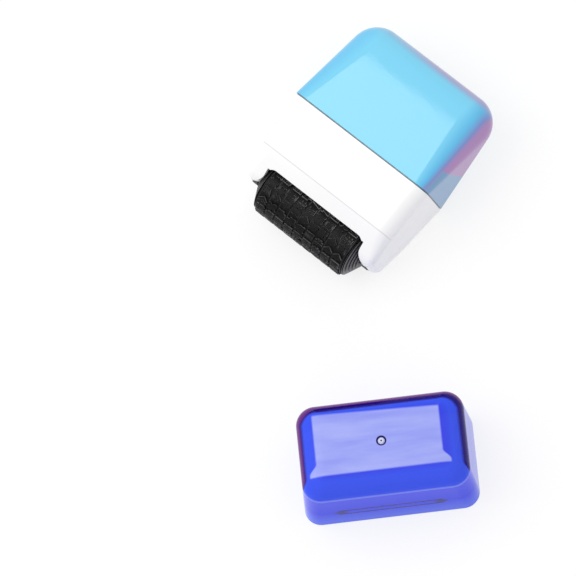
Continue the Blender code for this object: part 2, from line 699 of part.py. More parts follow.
def make_cap(model, cutters, parent, material):
    outer = cap_rings(0, CAP_HEIGHT)
    inner = cap_rings(CAP_WALL, CAP_HEIGHT - CAP_TOP_WALL)
    piece = add_object("cap", loft_mesh("cap", outer[::-1] + inner), model, parent, material)
    add_cap_ribs(piece, cutters, parent)
    add_cap_beads(piece, cutters, parent)
    gate = [(CAP_GATE_RADIUS, CAP_HEIGHT + CUT_OVERRUN), (CAP_GATE_RADIUS, CAP_HEIGHT - CAP_GATE_DEPTH),
            (CAP_GATE_RADIUS / 2, CAP_HEIGHT - CAP_GATE_DEPTH),
            (CAP_GATE_RADIUS / 2, CAP_HEIGHT + CUT_OVERRUN)]
    tool = add_turned("gate_tool", gate, cutters, parent, steps=SMALL_TURN_STEPS)
    tool.rotation_euler = (0, 0, 0)
    combine(piece, tool, "DIFFERENCE")


def main():
    for old in list(bpy.data.objects):
        bpy.data.objects.remove(old)
    model = new_collection("privacy_roller_stamp")
    cutters = new_collection("cutters")
    materials = {
        "blue": new_material("glossy_blue", srgb(133, 213, 246), 0.16),
        "white": new_material("glossy_white", srgb(243, 243, 246), 0.22),
        "black": new_material("black_plastic", srgb(38, 38, 40), 0.42),
        "rubber": new_material("inked_rubber", srgb(44, 44, 47), 0.5),
        "core": new_material("pale_plastic", srgb(196, 198, 202), 0.4),
        "felt": new_material("ink_felt", srgb(26, 26, 32), 0.95),
        "steel": new_material("steel", srgb(186, 188, 192), 0.25, 1.0),
        "cap": new_material("clear_blue", srgb(88, 98, 236), 0.12, 0.0, 0.75),
    }

    # The resting face's middle is the origin; the empty lays the body down on it
    rest_height = -CREASE_DROP / 2
    resting_point = Vector((0, housing_half_depth(rest_height), rest_height))
    turn = Matrix.Rotation(LEAN - math.radians(90), 3, "X")
    laid = add_empty("laid_down", model, location=-(turn @ resting_point),
                     rotation=(LEAN - math.radians(90), 0, 0))
    stamp_axis = add_empty("stamp_axis", model, laid, (0, 0, -ROLLER_DROP))
    ink_axis = add_empty("ink_axis", model, laid, (0, 0, -INK_DROP))
    cap_place = add_empty("cap_place", model, location=(CAP_PLACE_X, CAP_PLACE_Y, 0),
                          rotation=(0, 0, CAP_TURN))

    cover = CoverShape()
    make_lower_housing(cover, model, cutters, laid, materials["white"])
    make_upper_cover(cover, model, cutters, laid, materials["blue"])
    make_inner_frame(cover, model, cutters, laid, materials["black"])
    make_bushes(model, laid, materials["core"])
    make_stamp_roller(model, stamp_axis, materials)
    make_ink_roller(model, ink_axis, materials)
    make_ink_carriage(model, cutters, ink_axis, materials)
    make_springs(model, laid, materials["steel"])
    make_cap(model, cutters, cap_place, materials["cap"])


main()
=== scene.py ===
# Privacy roller stamp with its cap taken off: smooth shells, marked rubber and finishes over the solids
import math
import random

import bmesh
import bpy
from mathutils import Matrix, Vector, noise


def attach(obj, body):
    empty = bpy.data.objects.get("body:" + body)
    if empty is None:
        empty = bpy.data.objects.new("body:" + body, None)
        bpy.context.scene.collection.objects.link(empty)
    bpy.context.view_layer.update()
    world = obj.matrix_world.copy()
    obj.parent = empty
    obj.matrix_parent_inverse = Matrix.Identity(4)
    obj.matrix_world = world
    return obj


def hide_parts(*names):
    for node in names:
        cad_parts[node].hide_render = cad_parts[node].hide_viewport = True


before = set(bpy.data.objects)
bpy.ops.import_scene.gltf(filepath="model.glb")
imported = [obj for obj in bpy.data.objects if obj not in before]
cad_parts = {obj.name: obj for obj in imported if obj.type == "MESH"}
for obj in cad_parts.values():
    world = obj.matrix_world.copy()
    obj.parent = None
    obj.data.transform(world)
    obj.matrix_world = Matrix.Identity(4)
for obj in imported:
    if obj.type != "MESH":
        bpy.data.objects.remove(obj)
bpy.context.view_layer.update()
scene = bpy.context.scene
random.seed(7)
print("frame loaded")

# The stamp's pieces are shaped upright about the parting line and then laid on their back
bodyPlace = {"leanDegrees": 8.339976, "restBack": 0.0155, "restDown": 0.00955}
capPlace = {"x": 0.0698, "y": -0.0685, "turnDegrees": 45.6}

restPoint = Vector((0, bodyPlace["restBack"], -bodyPlace["restDown"]))
layTurn = Matrix.Rotation(math.radians(bodyPlace["leanDegrees"] - 90), 4, "X")
layDown = layTurn @ Matrix.Translation(-restPoint)
capTurn = Matrix.Rotation(math.radians(capPlace["turnDegrees"]), 4, "Z")
standCap = Matrix.Translation((capPlace["x"], capPlace["y"], 0)) @ capTurn


def srgb(red, green, blue):
    def linear(value):
        share = value / 255
        return share / 12.92 if share <= 0.04045 else ((share + 0.055) / 1.055) ** 2.4
    return (linear(red), linear(green), linear(blue), 1.0)


# Small helpers for the node trees
def newFinish(name, colour, roughness, metallic=0.0, specular=0.5):
    material = bpy.data.materials.new(name)
    material.use_nodes = True
    shader = material.node_tree.nodes["Principled BSDF"]
    shader.inputs["Base Color"].default_value = colour
    shader.inputs["Roughness"].default_value = roughness
    shader.inputs["Metallic"].default_value = metallic
    shader.inputs["Specular IOR Level"].default_value = specular
    return material, material.node_tree, shader


def addNode(tree, kind, settings=None, **values):
    node = tree.nodes.new(kind)
    for key, value in (settings or {}).items():
        setattr(node, key, value)
    for key, value in values.items():
        node.inputs[key].default_value = value
    return node


def objectPoint(tree):
    return addNode(tree, "ShaderNodeTexCoord").outputs["Object"]


def mapPoint(tree, point, **places):
    mapping = addNode(tree, "ShaderNodeMapping", **places)
    tree.links.new(point, mapping.inputs["Vector"])
    return mapping.outputs["Vector"]


def uprightPoint(tree):
    # Takes a place on the lying stamp back to the upright body's own axes
    turn = (math.radians(90 - bodyPlace["leanDegrees"]), 0, 0)
    return mapPoint(tree, objectPoint(tree), Rotation=turn, Location=restPoint)


def capPoint(tree):
    # Takes a place on the standing cap to the cap's own middle and axes
    shifted = mapPoint(tree, objectPoint(tree), Location=(-capPlace["x"], -capPlace["y"], 0))
    return mapPoint(tree, shifted, Rotation=(0, 0, math.radians(-capPlace["turnDegrees"])))


def doMath(tree, operation, first, second=None):
    node = addNode(tree, "ShaderNodeMath", {"operation": operation})
    for socket, value in zip(node.inputs, (first, second)):
        if isinstance(value, (int, float)):
            socket.default_value = value
        elif value is not None:
            tree.links.new(value, socket)
    return node.outputs[0]


def mapRange(tree, source, low, high, toLow=0.0, toHigh=1.0, smooth=False):
    node = addNode(tree, "ShaderNodeMapRange", {"interpolation_type": "SMOOTHSTEP" if smooth else "LINEAR"})
    for name, value in (("From Min", low), ("From Max", high), ("To Min", toLow), ("To Max", toHigh)):
        node.inputs[name].default_value = value
    tree.links.new(source, node.inputs["Value"])
    return node.outputs["Result"]


def mixColour(tree, factor, first, second):
    node = addNode(tree, "ShaderNodeMix", {"data_type": "RGBA"})
    if isinstance(factor, (int, float)):
        node.inputs[0].default_value = factor
    else:
        tree.links.new(factor, node.inputs[0])
    for socket, value in ((node.inputs[6], first), (node.inputs[7], second)):
        if isinstance(value, tuple):
            socket.default_value = value
        else:
            tree.links.new(value, socket)
    return node.outputs[2]


def colourRamp(tree, source, stops):
    node = addNode(tree, "ShaderNodeValToRGB")
    ramp = node.color_ramp
    while len(ramp.elements) < len(stops):
        ramp.elements.new(0.5)
    for element, (place, colour) in zip(ramp.elements, stops):
        element.position = place
        element.color = colour
    tree.links.new(source, node.inputs["Fac"])
    return node.outputs["Color"]


def product(tree, first, *others):
    for other in others:
        first = doMath(tree, "MULTIPLY", first, other)
    return first


def bandAt(tree, source, middle, half, soft):
    # One inside the band, falling to nothing over the soft width on both of its sides
    away = doMath(tree, "ABSOLUTE", doMath(tree, "SUBTRACT", source, middle))
    return mapRange(tree, away, half + soft, half, smooth=True)


def axes(tree, point):
    split = addNode(tree, "ShaderNodeSeparateXYZ")
    tree.links.new(point, split.inputs[0])
    return split.outputs["X"], split.outputs["Y"], split.outputs["Z"]


def noiseAt(tree, point, scale, detail=3.0, stretch=(1, 1, 1)):
    node = addNode(tree, "ShaderNodeTexNoise", Scale=scale, Detail=detail)
    tree.links.new(mapPoint(tree, point, Scale=stretch), node.inputs["Vector"])
    return node.outputs["Fac"]


def addBump(tree, shader, height, strength, distance):
    bump = addNode(tree, "ShaderNodeBump", Strength=strength, Distance=distance)
    tree.links.new(height, bump.inputs["Height"])
    tree.links.new(bump.outputs["Normal"], shader.inputs["Normal"])


def meshValue(tree, name):
    return addNode(tree, "ShaderNodeAttribute", {"attribute_name": name}).outputs["Fac"]


noiseSpan = (0.3, 0.7)  # nearly all of a noise's values lie between these


def linkRoughness(tree, shader, source, low, high):
    tree.links.new(mapRange(tree, source, *noiseSpan, low, high), shader.inputs["Roughness"])


def addGrain(tree, shader, point, surface):
    # Wide patches change the gloss and a fine grain the relief; the patches are given back for the colour
    patches = noiseAt(tree, point, surface["patches"])
    linkRoughness(tree, shader, patches, surface["smooth"], surface["rough"])
    grain = noiseAt(tree, point, surface["grain"], surface["detail"])
    addBump(tree, shader, grain, surface["strength"], surface["depth"])
    return patches


def setColour(tree, shader, colour):
    tree.links.new(colour, shader.inputs["Base Color"])


# In the finishes, a pair in `at` runs from nothing to full and a three is a band's middle, half width and
# edge, while `cloud` holds a noise's scale, its detail and, where it has one, its stretch
# Glossy sky-blue cover, painted shade deepening its rounded ends and a painted mauve reflection on its right
# end and along its top
def makeBluePlastic():
    look = {"sky": srgb(126, 214, 246), "deep": srgb(96, 192, 238), "violet": srgb(126, 146, 210),
            "mauveReflection": srgb(176, 137, 190), "patch": srgb(122, 164, 204), "rim": srgb(48, 88, 112)}
    at = {"depth": (-0.0169, 0.0169), "patchTop": (0.0080, 0.0138), "patchSoft": 0.0004,
          "mauveReflection": (-0.022, 0.006), "rimLow": (0.00001, 0.00004), "rimHigh": (0.00022, 0.00012),
          "leftShare": (0.15, 0.8), "endShare": (0.62, 0.86), "topShare": (0.64, 0.94),
          "mauveShare": (0.25, 0.75)}
    surface = {"patches": 180, "smooth": 0.05, "rough": 0.09, "grain": 320, "detail": 1.0, "strength": 0.04,
               "depth": 0.0002}
    material, tree, shader = newFinish("glossyBluePlastic", look["sky"], 0.07, specular=0.4)
    point = uprightPoint(tree)
    x, y, z = axes(tree, point)
    # Painted shade turns the rounded ends deeper blue, and on the right end a painted mauve reflection
    # follows
    rightShare = meshValue(tree, "rightShare")
    right = colourRamp(tree, rightShare, [
        (0.0, look["sky"]), (0.45, look["deep"]), (0.68, look["violet"]), (0.79, look["mauveReflection"])])
    onLeft = mapRange(tree, meshValue(tree, "leftShare"), *at["leftShare"])
    left = mixColour(tree, onLeft, right, look["deep"])
    # The reflected patch low on the right end climbs towards the back
    limit = mapRange(tree, y, *at["depth"], *at["patchTop"])
    below = doMath(tree, "SUBTRACT", limit, z)
    under = mapRange(tree, below, -at["patchSoft"], at["patchSoft"], smooth=True)
    onEnd = mapRange(tree, rightShare, *at["endShare"], smooth=True)
    patched = mixColour(tree, product(tree, under, onEnd), left, look["patch"])
    # A painted mauve reflection along the top, stronger towards the right end
    along = mapRange(tree, x, *at["mauveReflection"], *at["mauveShare"], smooth=True)
    onTop = mapRange(tree, meshValue(tree, "topShare"), *at["topShare"], smooth=True)
    high = product(tree, along, onTop)
    topped = mixColour(tree, high, patched, look["mauveReflection"])
    # Painted shade on the outer skin next to the parting line only, not on the foot that rests on the housing
    rim = product(tree, mapRange(tree, z, *at["rimHigh"]), mapRange(tree, z, *at["rimLow"]))
    setColour(tree, shader, mixColour(tree, rim, topped, look["rim"]))
    addGrain(tree, shader, point, surface)
    return material


# White housing plastic with a faint mould texture, painted shade along its parting edge and a fine painted
# shade line along its crease
def makeWhitePlastic():
    look = {"plain": srgb(247, 247, 247), "darker": srgb(246, 246, 246), "lighter": srgb(248, 248, 248),
            "crease": srgb(222, 222, 223), "rim": srgb(108, 114, 120)}
    at = {"crease": (-0.0191, 0.00008, 0.00022), "creaseFront": (-0.0090, -0.0128),
          "rimLow": (-0.00036, -0.00026), "rimHigh": (-0.00002, -0.00006), "tint": (0.35, 0.65)}
    cloud = {"tint": (60, 2.0)}
    surface = {"patches": 240, "smooth": 0.16, "rough": 0.24, "grain": 900, "detail": 2.0, "strength": 0.05,
               "depth": 0.0001}
    material, tree, shader = newFinish("glossyWhitePlastic", look["plain"], 0.2)
    point = uprightPoint(tree)
    y, z = axes(tree, point)[1:]
    shade = mapRange(tree, noiseAt(tree, point, *cloud["tint"]), *at["tint"])
    tint = mixColour(tree, shade, look["darker"], look["lighter"])
    # The fine painted shade line along the crease, on the front only
    crease = product(tree, bandAt(tree, z, *at["crease"]), mapRange(tree, y, *at["creaseFront"]))
    lined = mixColour(tree, crease, tint, look["crease"])
    # Painted shade in the groove at the parting edge
    rim = product(tree, mapRange(tree, z, *at["rimLow"]), mapRange(tree, z, *at["rimHigh"]))
    setColour(tree, shader, mixColour(tree, rim, lined, look["rim"]))
    addGrain(tree, shader, point, surface)
    return material


def axisDistance(tree, y, z):
    # Distance from the stamp roller's axis
    axis = {"y": -0.020107, "z": 0.012718}
    across, up = doMath(tree, "SUBTRACT", y, axis["y"]), doMath(tree, "SUBTRACT", z, axis["z"])
    squares = doMath(tree, "ADD", product(tree, across, across), product(tree, up, up))
    return doMath(tree, "SQRT", squares)


# Black rubber whose raised marks carry painted highlights, over a darker ground
def makeInkedRubber():
    look = {"plain": srgb(30, 30, 32), "ground": srgb(3, 3, 4), "lowFlank": srgb(96, 96, 98),
            "highFlank": srgb(166, 167, 169), "top": srgb(12, 12, 13), "ring": srgb(112, 112, 115),
            "darkerAway": srgb(14, 14, 15), "ink": srgb(16, 16, 18)}
    at = {"relief": (0.0096, 0.0106), "ringStart": 0.0178, "ringPitch": 0.0039556,
          "ringDepth": (0.0102, 0.0099), "darkerAway": (-0.0212, -0.0236), "lineShare": (0.462, 0.480),
          "lineBreaks": (0.42, 0.62), "lineStrength": 0.6, "fillStrength": 0.55, "inkPatches": (0.48, 0.8)}
    cloud = {"lineBreaks": (260, 2.0), "inkPatches": (420, 4.0)}
    surface = {"patches": 300, "smooth": 0.22, "rough": 0.5, "grain": 1500, "detail": 4.0, "strength": 0.25,
               "depth": 0.0001}
    material, tree, shader = newFinish("inkedRubber", look["plain"], 0.4, specular=0.12)
    point = objectPoint(tree)
    x, y, z = axes(tree, point)
    radius = axisDistance(tree, y, z)
    # The flanks of the raised marks carry painted highlights, paler than their tops and the darker ground
    # between
    flankHighlights = colourRamp(tree, mapRange(tree, radius, *at["relief"]), [
        (0.10, look["ground"]), (0.32, look["lowFlank"]), (0.62, look["highFlank"]), (0.86, look["top"])])
    # Thin pale lines between the rings are painted highlights, broken in places
    count = product(tree, doMath(tree, "ADD", x, at["ringStart"]), 1 / at["ringPitch"])
    place = doMath(tree, "ABSOLUTE", doMath(tree, "SUBTRACT", doMath(tree, "FRACT", count), 0.5))
    line = product(tree, mapRange(tree, place, *at["lineShare"], smooth=True),
                   mapRange(tree, noiseAt(tree, point, *cloud["lineBreaks"]), *at["lineBreaks"]),
                   mapRange(tree, radius, *at["ringDepth"]))
    ringed = mixColour(tree, product(tree, line, at["lineStrength"]), flankHighlights, look["ring"])
    # Away from the row next to the opening, the relief and its painted highlights are darkened
    darkerAway = mapRange(tree, y, *at["darkerAway"], 0.0, at["fillStrength"], smooth=True)
    darkenedAway = mixColour(tree, darkerAway, ringed, look["darkerAway"])
    ink = mapRange(tree, noiseAt(tree, point, *cloud["inkPatches"]), *at["inkPatches"])
    setColour(tree, shader, mixColour(tree, ink, darkenedAway, look["ink"]))
    addGrain(tree, shader, point, surface)
    return material


def makeRidgedBlack():
    # Painted shade darkens the cones' grooves and a painted highlight makes their ridges paler
    look = {"plain": srgb(34, 34, 36), "groove": srgb(3, 3, 4), "ridge": srgb(92, 92, 94)}
    at = {"end": 0.0214, "length": 0.0028, "rim": 0.0097, "tip": 0.0046, "grooveDepth": -0.00024,
          "ridgeDepth": -0.00004}
    surface = {"patches": 260, "smooth": 0.28, "rough": 0.42, "grain": 1800, "detail": 2.0, "strength": 0.12,
               "depth": 0.00008}
    material, tree, shader = newFinish("ridgedBlackPlastic", look["plain"], 0.35, specular=0.25)
    point = objectPoint(tree)
    x, y, z = axes(tree, point)
    slope = (at["rim"] - at["tip"]) / at["length"]
    line = product(tree, doMath(tree, "SUBTRACT", at["end"], doMath(tree, "ABSOLUTE", x)), slope)
    depth = doMath(tree, "SUBTRACT", axisDistance(tree, y, z), doMath(tree, "ADD", line, at["tip"]))
    shade = mapRange(tree, depth, at["grooveDepth"], at["ridgeDepth"])
    setColour(tree, shader, mixColour(tree, shade, look["groove"], look["ridge"]))
    addGrain(tree, shader, point, surface)
    return material


def makeBlackPlastic():
    look = {"plain": srgb(34, 34, 36), "dark": srgb(28, 28, 30), "light": srgb(42, 42, 45)}
    surface = {"patches": 260, "smooth": 0.32, "rough": 0.5, "grain": 1800, "detail": 2.0, "strength": 0.15,
               "depth": 0.00008}
    material, tree, shader = newFinish("blackPlastic", look["plain"], 0.4)
    patches = addGrain(tree, shader, objectPoint(tree), surface)
    setColour(tree, shader, mixColour(tree, patches, look["dark"], look["light"]))
    return material


def makePalePlastic():
    look = {"plain": srgb(200, 202, 206), "dark": srgb(194, 196, 200), "light": srgb(208, 210, 214),
            "stain": srgb(120, 122, 132)}
    at = {"stain": (0.52, 0.75)}
    cloud = {"stain": (90, 5.0)}
    surface = {"patches": 200, "smooth": 0.32, "rough": 0.5, "grain": 1400, "detail": 2.0, "strength": 0.1,
               "depth": 0.00008}
    material, tree, shader = newFinish("palePlastic", look["plain"], 0.4)
    point = objectPoint(tree)
    patches = addGrain(tree, shader, point, surface)
    stain = mapRange(tree, noiseAt(tree, point, *cloud["stain"]), *at["stain"])
    clean = mixColour(tree, patches, look["dark"], look["light"])
    setColour(tree, shader, mixColour(tree, stain, clean, look["stain"]))
    return material


def makeSteel():
    look = {"plain": srgb(188, 190, 194), "dark": srgb(170, 172, 178), "light": srgb(204, 205, 208)}
    turned = {"scale": 500, "detail": 4.0, "stretch": (4, 0.3, 0.3), "smooth": 0.18, "rough": 0.36,
              "strength": 0.08, "depth": 0.00005}
    material, tree, shader = newFinish("turnedSteel", look["plain"], 0.25, metallic=1.0)
    lines = noiseAt(tree, objectPoint(tree), turned["scale"], turned["detail"], turned["stretch"])
    setColour(tree, shader, mixColour(tree, lines, look["dark"], look["light"]))
    linkRoughness(tree, shader, lines, turned["smooth"], turned["rough"])
    addBump(tree, shader, lines, turned["strength"], turned["depth"])
    return material


def makeInkFelt():
    look = {"plain": srgb(24, 24, 30), "dark": srgb(14, 14, 19), "light": srgb(40, 40, 50)}
    fibre = {"scale": 900, "detail": 6.0, "strength": 0.8, "depth": 0.0003, "sheen": 0.3, "sheenRough": 0.5}
    material, tree, shader = newFinish("inkFelt", look["plain"], 0.95)
    shader.inputs["Sheen Weight"].default_value = fibre["sheen"]
    shader.inputs["Sheen Roughness"].default_value = fibre["sheenRough"]
    wool = noiseAt(tree, objectPoint(tree), fibre["scale"], fibre["detail"])
    setColour(tree, shader, mixColour(tree, wool, look["dark"], look["light"]))
    addBump(tree, shader, wool, fibre["strength"], fibre["depth"])
    return material


# Clear blue-violet cap plastic with painted shade round the edges of its top, a painted reflection and a
# painted highlight, and beads that show as dark lines
def makeClearBlue():
    look = {"foot": srgb(92, 118, 252), "wall": srgb(38, 58, 238), "upper": srgb(64, 76, 244),
            "band": srgb(62, 90, 249), "top": srgb(60, 72, 238), "patch": srgb(174, 183, 254),
            "navy": srgb(32, 8, 118), "plum": srgb(104, 34, 128), "line": srgb(150, 162, 252),
            "bead": srgb(34, 20, 108), "taper": srgb(44, 30, 60), "gate": srgb(24, 20, 104),
            "gateMiddle": srgb(222, 226, 252)}
    at = {"height": 0.0324, "rimLow": (0.0234, 0.0258), "rimHigh": (0.03228, 0.0319),
          "left": (-0.0190, -0.0240), "flareDepth": (-0.0052, -0.0086), "flare": 0.0024, "patchHalf": 0.0206,
          "patchShift": 0.0011, "patchSide": (-0.0003, 0.0005), "slant": (-0.0004, 0.0012),
          "patchBack": (0.0113, 0.0103), "patchFront": (-0.0098, -0.0090), "patchHeight": (0.0262, 0.0274),
          "shoulder": (0.0246, 0.0005, 0.0005), "shoulderFront": (-0.0100, -0.0145), "wall": (0.0142, 0.0150),
          "beadLow": (0.0094, 0.00026, 0.00034), "beadHigh": (0.0128, 0.00026, 0.00034),
          "beadSpan": (0.0, 0.0164, 0.0012), "taperSpan": (0.0163, 0.0007, 0.0022),
          "taperHeight": (0.0111, 0.0005, 0.0014), "top": (0.030, 0.0305),
          "gateMiddle": (0.0, 0.0010, 0.0002), "gateRing": (0.00140, 0.00020, 0.00016),
          "gateDot": (0.0, 0.00022, 0.00016), "navyShare": (0.26, 0.46), "plumShare": (0.76, 1.0),
          "plumGain": 0.42, "lineStrength": 0.45, "taperStrength": 0.75, "opacity": (0.2, 0.8, 0.90, 1.0),
          "streaks": (0.72, 1.0)}
    cloud = {"streaks": (130, 3.0, (0.35, 2.2, 1))}
    surface = {"patches": 160, "smooth": 0.04, "rough": 0.08, "grain": 140, "detail": 2.0, "strength": 0.06,
               "depth": 0.0004}
    material, tree, shader = newFinish("clearBluePlastic", look["wall"], 0.05, specular=0.07)
    point = capPoint(tree)
    x, y, z = axes(tree, point)
    across, deep = doMath(tree, "ABSOLUTE", x), doMath(tree, "ABSOLUTE", y)
    colour = colourRamp(tree, mapRange(tree, z, 0.0, at["height"]), [
        (0.0, look["foot"]), (0.35, look["wall"]), (0.72, look["upper"]), (0.77, look["band"]),
        (0.97, look["band"]), (1.0, look["top"])])
    # Painted shade: a dark edge round the back and the sides of the top, plum at its outermost and further in
    # on the left
    rimShare = product(tree, meshValue(tree, "rimShare"), mapRange(tree, z, *at["rimLow"], smooth=True),
                       mapRange(tree, z, *at["rimHigh"]))
    colour = mixColour(tree, mapRange(tree, rimShare, *at["navyShare"], smooth=True), colour, look["navy"])
    leftward = mapRange(tree, x, *at["left"], 0.0, at["plumGain"], smooth=True)
    plumShare = doMath(tree, "ADD", rimShare, leftward)
    colour = mixColour(tree, mapRange(tree, plumShare, *at["plumShare"], smooth=True), colour, look["plum"])
    # A painted reflection: a pale patch on the top, flared at its front corners
    flare = mapRange(tree, y, *at["flareDepth"], 0.0, at["flare"], smooth=True)
    reach = doMath(tree, "ADD", flare, at["patchHalf"])
    besideMiddle = doMath(tree, "ABSOLUTE", doMath(tree, "ADD", x, at["patchShift"]))
    slant = mapRange(tree, x, -at["patchHalf"], at["patchHalf"], *at["slant"])
    behind = doMath(tree, "ADD", y, slant)
    inside = doMath(tree, "SUBTRACT", reach, besideMiddle)
    patch = product(tree, mapRange(tree, inside, *at["patchSide"], smooth=True),
                    mapRange(tree, behind, *at["patchBack"], smooth=True),
                    mapRange(tree, y, *at["patchFront"], smooth=True),
                    mapRange(tree, z, *at["patchHeight"]))
    streaks = mapRange(tree, noiseAt(tree, point, *cloud["streaks"]), *noiseSpan, *at["streaks"])
    colour = mixColour(tree, product(tree, patch, streaks), colour, look["patch"])
    # A painted highlight along the front shoulder, where the top's rounding begins
    shoulder = product(tree, bandAt(tree, z, *at["shoulder"]),
                       mapRange(tree, y, *at["shoulderFront"]))
    colour = mixColour(tree, product(tree, shoulder, at["lineStrength"]), colour, look["line"])
    # The two edges of each bead, and the darker tapers that join them at both ends
    onWall = mapRange(tree, deep, *at["wall"])
    lines = doMath(tree, "MAXIMUM", bandAt(tree, z, *at["beadLow"]),
                   bandAt(tree, z, *at["beadHigh"]))
    beads = product(tree, lines, bandAt(tree, across, *at["beadSpan"]), onWall)
    colour = mixColour(tree, beads, colour, look["bead"])
    taper = product(tree, bandAt(tree, across, *at["taperSpan"]),
                    bandAt(tree, z, *at["taperHeight"]), onWall)
    colour = mixColour(tree, product(tree, taper, at["taperStrength"]), colour, look["taper"])
    # The gate mark: a pale middle with a dot, inside a dark ring
    fromGate = doMath(tree, "SQRT", doMath(tree, "ADD", product(tree, x, x), product(tree, y, y)))
    onTop = mapRange(tree, z, *at["top"])
    middle = product(tree, bandAt(tree, fromGate, *at["gateMiddle"]), onTop)
    colour = mixColour(tree, middle, colour, look["gateMiddle"])
    ring = doMath(tree, "MAXIMUM", bandAt(tree, fromGate, *at["gateRing"]),
                  bandAt(tree, fromGate, *at["gateDot"]))
    setColour(tree, shader, mixColour(tree, product(tree, ring, onTop), colour, look["gate"]))
    facing = addNode(tree, "ShaderNodeLayerWeight", Blend=0.5).outputs["Facing"]
    tree.links.new(mapRange(tree, facing, *at["opacity"]), shader.inputs["Alpha"])
    addGrain(tree, shader, point, surface)
    return material


finishes = {
    "blue": makeBluePlastic(),
    "white": makeWhitePlastic(),
    "rubber": makeInkedRubber(),
    "black": makeBlackPlastic(),
    "ridged": makeRidgedBlack(),
    "pale": makePalePlastic(),
    "steel": makeSteel(),
    "felt": makeInkFelt(),
    "clear": makeClearBlue(),
}
print("finishes made")


# Shared ways of shaping
shaping = {"merge": 1e-7, "near": 1e-6, "sharpDegrees": 35, "softSegments": 2}


def roundCorners(bm, corners, radius, segments):
    return bmesh.ops.bevel(bm, geom=corners, offset=radius, segments=segments, affect="VERTICES", profile=0.5,
                           material=-1)["verts"]


def roundedLoop(bm, halfWidth, front, back, radius, height, segments):
    # A rectangle with round corners, from a square whose corners are bevelled
    verts = bmesh.ops.create_circle(bm, cap_ends=True, segments=4, radius=math.sqrt(0.5))["verts"]
    bmesh.ops.rotate(bm, verts=verts, cent=(0, 0, 0), matrix=Matrix.Rotation(math.radians(45), 3, "Z"))
    bmesh.ops.scale(bm, verts=verts, vec=(2 * halfWidth, back - front, 1))
    bmesh.ops.translate(bm, verts=verts, vec=(0, (front + back) / 2, height))
    return roundCorners(bm, verts, radius, segments)[0].link_faces[0]


def loftLoops(bm, sections, segments):
    # Skins a run of rounded loops, point to point, each taken round its middle from the same place
    faces = [roundedLoop(bm, *section, segments) for section in sections]
    loops = []
    for face, section in zip(faces, sections):
        middle = (section[1] + section[2]) / 2
        loops.append(sorted(face.verts, key=lambda vert: math.atan2(vert.co.y - middle, vert.co.x)))
    bmesh.ops.delete(bm, geom=faces[1:-1], context="FACES_ONLY")
    for lower, upper in zip(loops, loops[1:]):
        for index, vert in enumerate(lower):
            bm.faces.new((lower[index - 1], vert, upper[index], upper[index - 1]))


def makeObject(name, bm):
    bmesh.ops.remove_doubles(bm, verts=bm.verts, dist=shaping["merge"])
    bmesh.ops.recalc_face_normals(bm, faces=bm.faces)
    mesh = bpy.data.meshes.new(name)
    bm.to_mesh(mesh)
    bm.free()
    piece = bpy.data.objects.new(name, mesh)
    scene.collection.objects.link(piece)
    return piece


def applyModifiers(piece):
    graph = bpy.context.evaluated_depsgraph_get()
    mesh = bpy.data.meshes.new_from_object(piece.evaluated_get(graph))
    piece.modifiers.clear()
    piece.data = mesh


def useTools(piece, tools):
    for tool, operation in tools:
        step = piece.modifiers.new(operation.title(), "BOOLEAN")
        step.operation = operation
        step.solver = "EXACT"
        step.object = tool
    applyModifiers(piece)
    for tool, _ in tools:
        bpy.data.objects.remove(tool)


def softenEdges(piece, width, degrees):
    soften = piece.modifiers.new("Soften", "BEVEL")
    soften.width = width
    soften.segments = shaping["softSegments"]
    soften.limit_method = "ANGLE"
    soften.angle_limit = math.radians(degrees)
    soften.use_clamp_overlap = True
    applyModifiers(piece)


def settle(piece, finish, place, body, slot, *nodes):
    # Puts the finished piece in its place in its mesh and hands it to the frame
    piece.data.transform(place)
    piece.data.shade_smooth()
    piece.data.set_sharp_from_angle(angle=math.radians(shaping["sharpDegrees"]))
    piece.data.materials.clear()
    piece.data.materials.append(finishes[finish])
    keepFlat = piece.modifiers.new("KeepFlat", "WEIGHTED_NORMAL")
    keepFlat.keep_sharp = True
    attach(piece, body)
    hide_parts(*nodes)


def boxTool(name, low, high):
    bm = bmesh.new()
    verts = bmesh.ops.create_cube(bm, size=1)["verts"]
    bmesh.ops.scale(bm, verts=verts, vec=[b - a for a, b in zip(low, high)])
    bmesh.ops.translate(bm, verts=verts, vec=[(a + b) / 2 for a, b in zip(low, high)])
    return makeObject(name, bm)


def spinProfile(bm, profile, steps, closed=True):
    # Spins a profile about X; its pairs are distance along the axis and radius
    verts = [bm.verts.new((along, 0, radius)) for along, radius in profile]
    edges = [bm.edges.new(pair) for pair in zip(verts, verts[1:])]
    if closed:
        edges.append(bm.edges.new((verts[-1], verts[0])))
    bmesh.ops.spin(bm, geom=verts + edges, cent=(0, 0, 0), axis=(1, 0, 0), angle=math.tau, steps=steps,
                   use_merge=True)


# upper cover
cover = {"halfWidth": 0.0281, "halfDepth": 0.0169, "corner": 0.005, "height": 0.0361, "topRadius": 0.0098,
         "topSetback": 0.0043, "wall": 0.0018, "ribReach": 0.0035, "ribThickness": 0.0012,
         "ribSpacing": 0.028, "ribFoot": 0.0064, "wallRows": 9, "topDegrees": 6, "leastCorner": 0.0006,
         "segments": 12, "ribSegments": 6, "softEdge": 0.00018, "softDegrees": 60, "topEnd": 85,
         "cornerRoom": 0.00001}


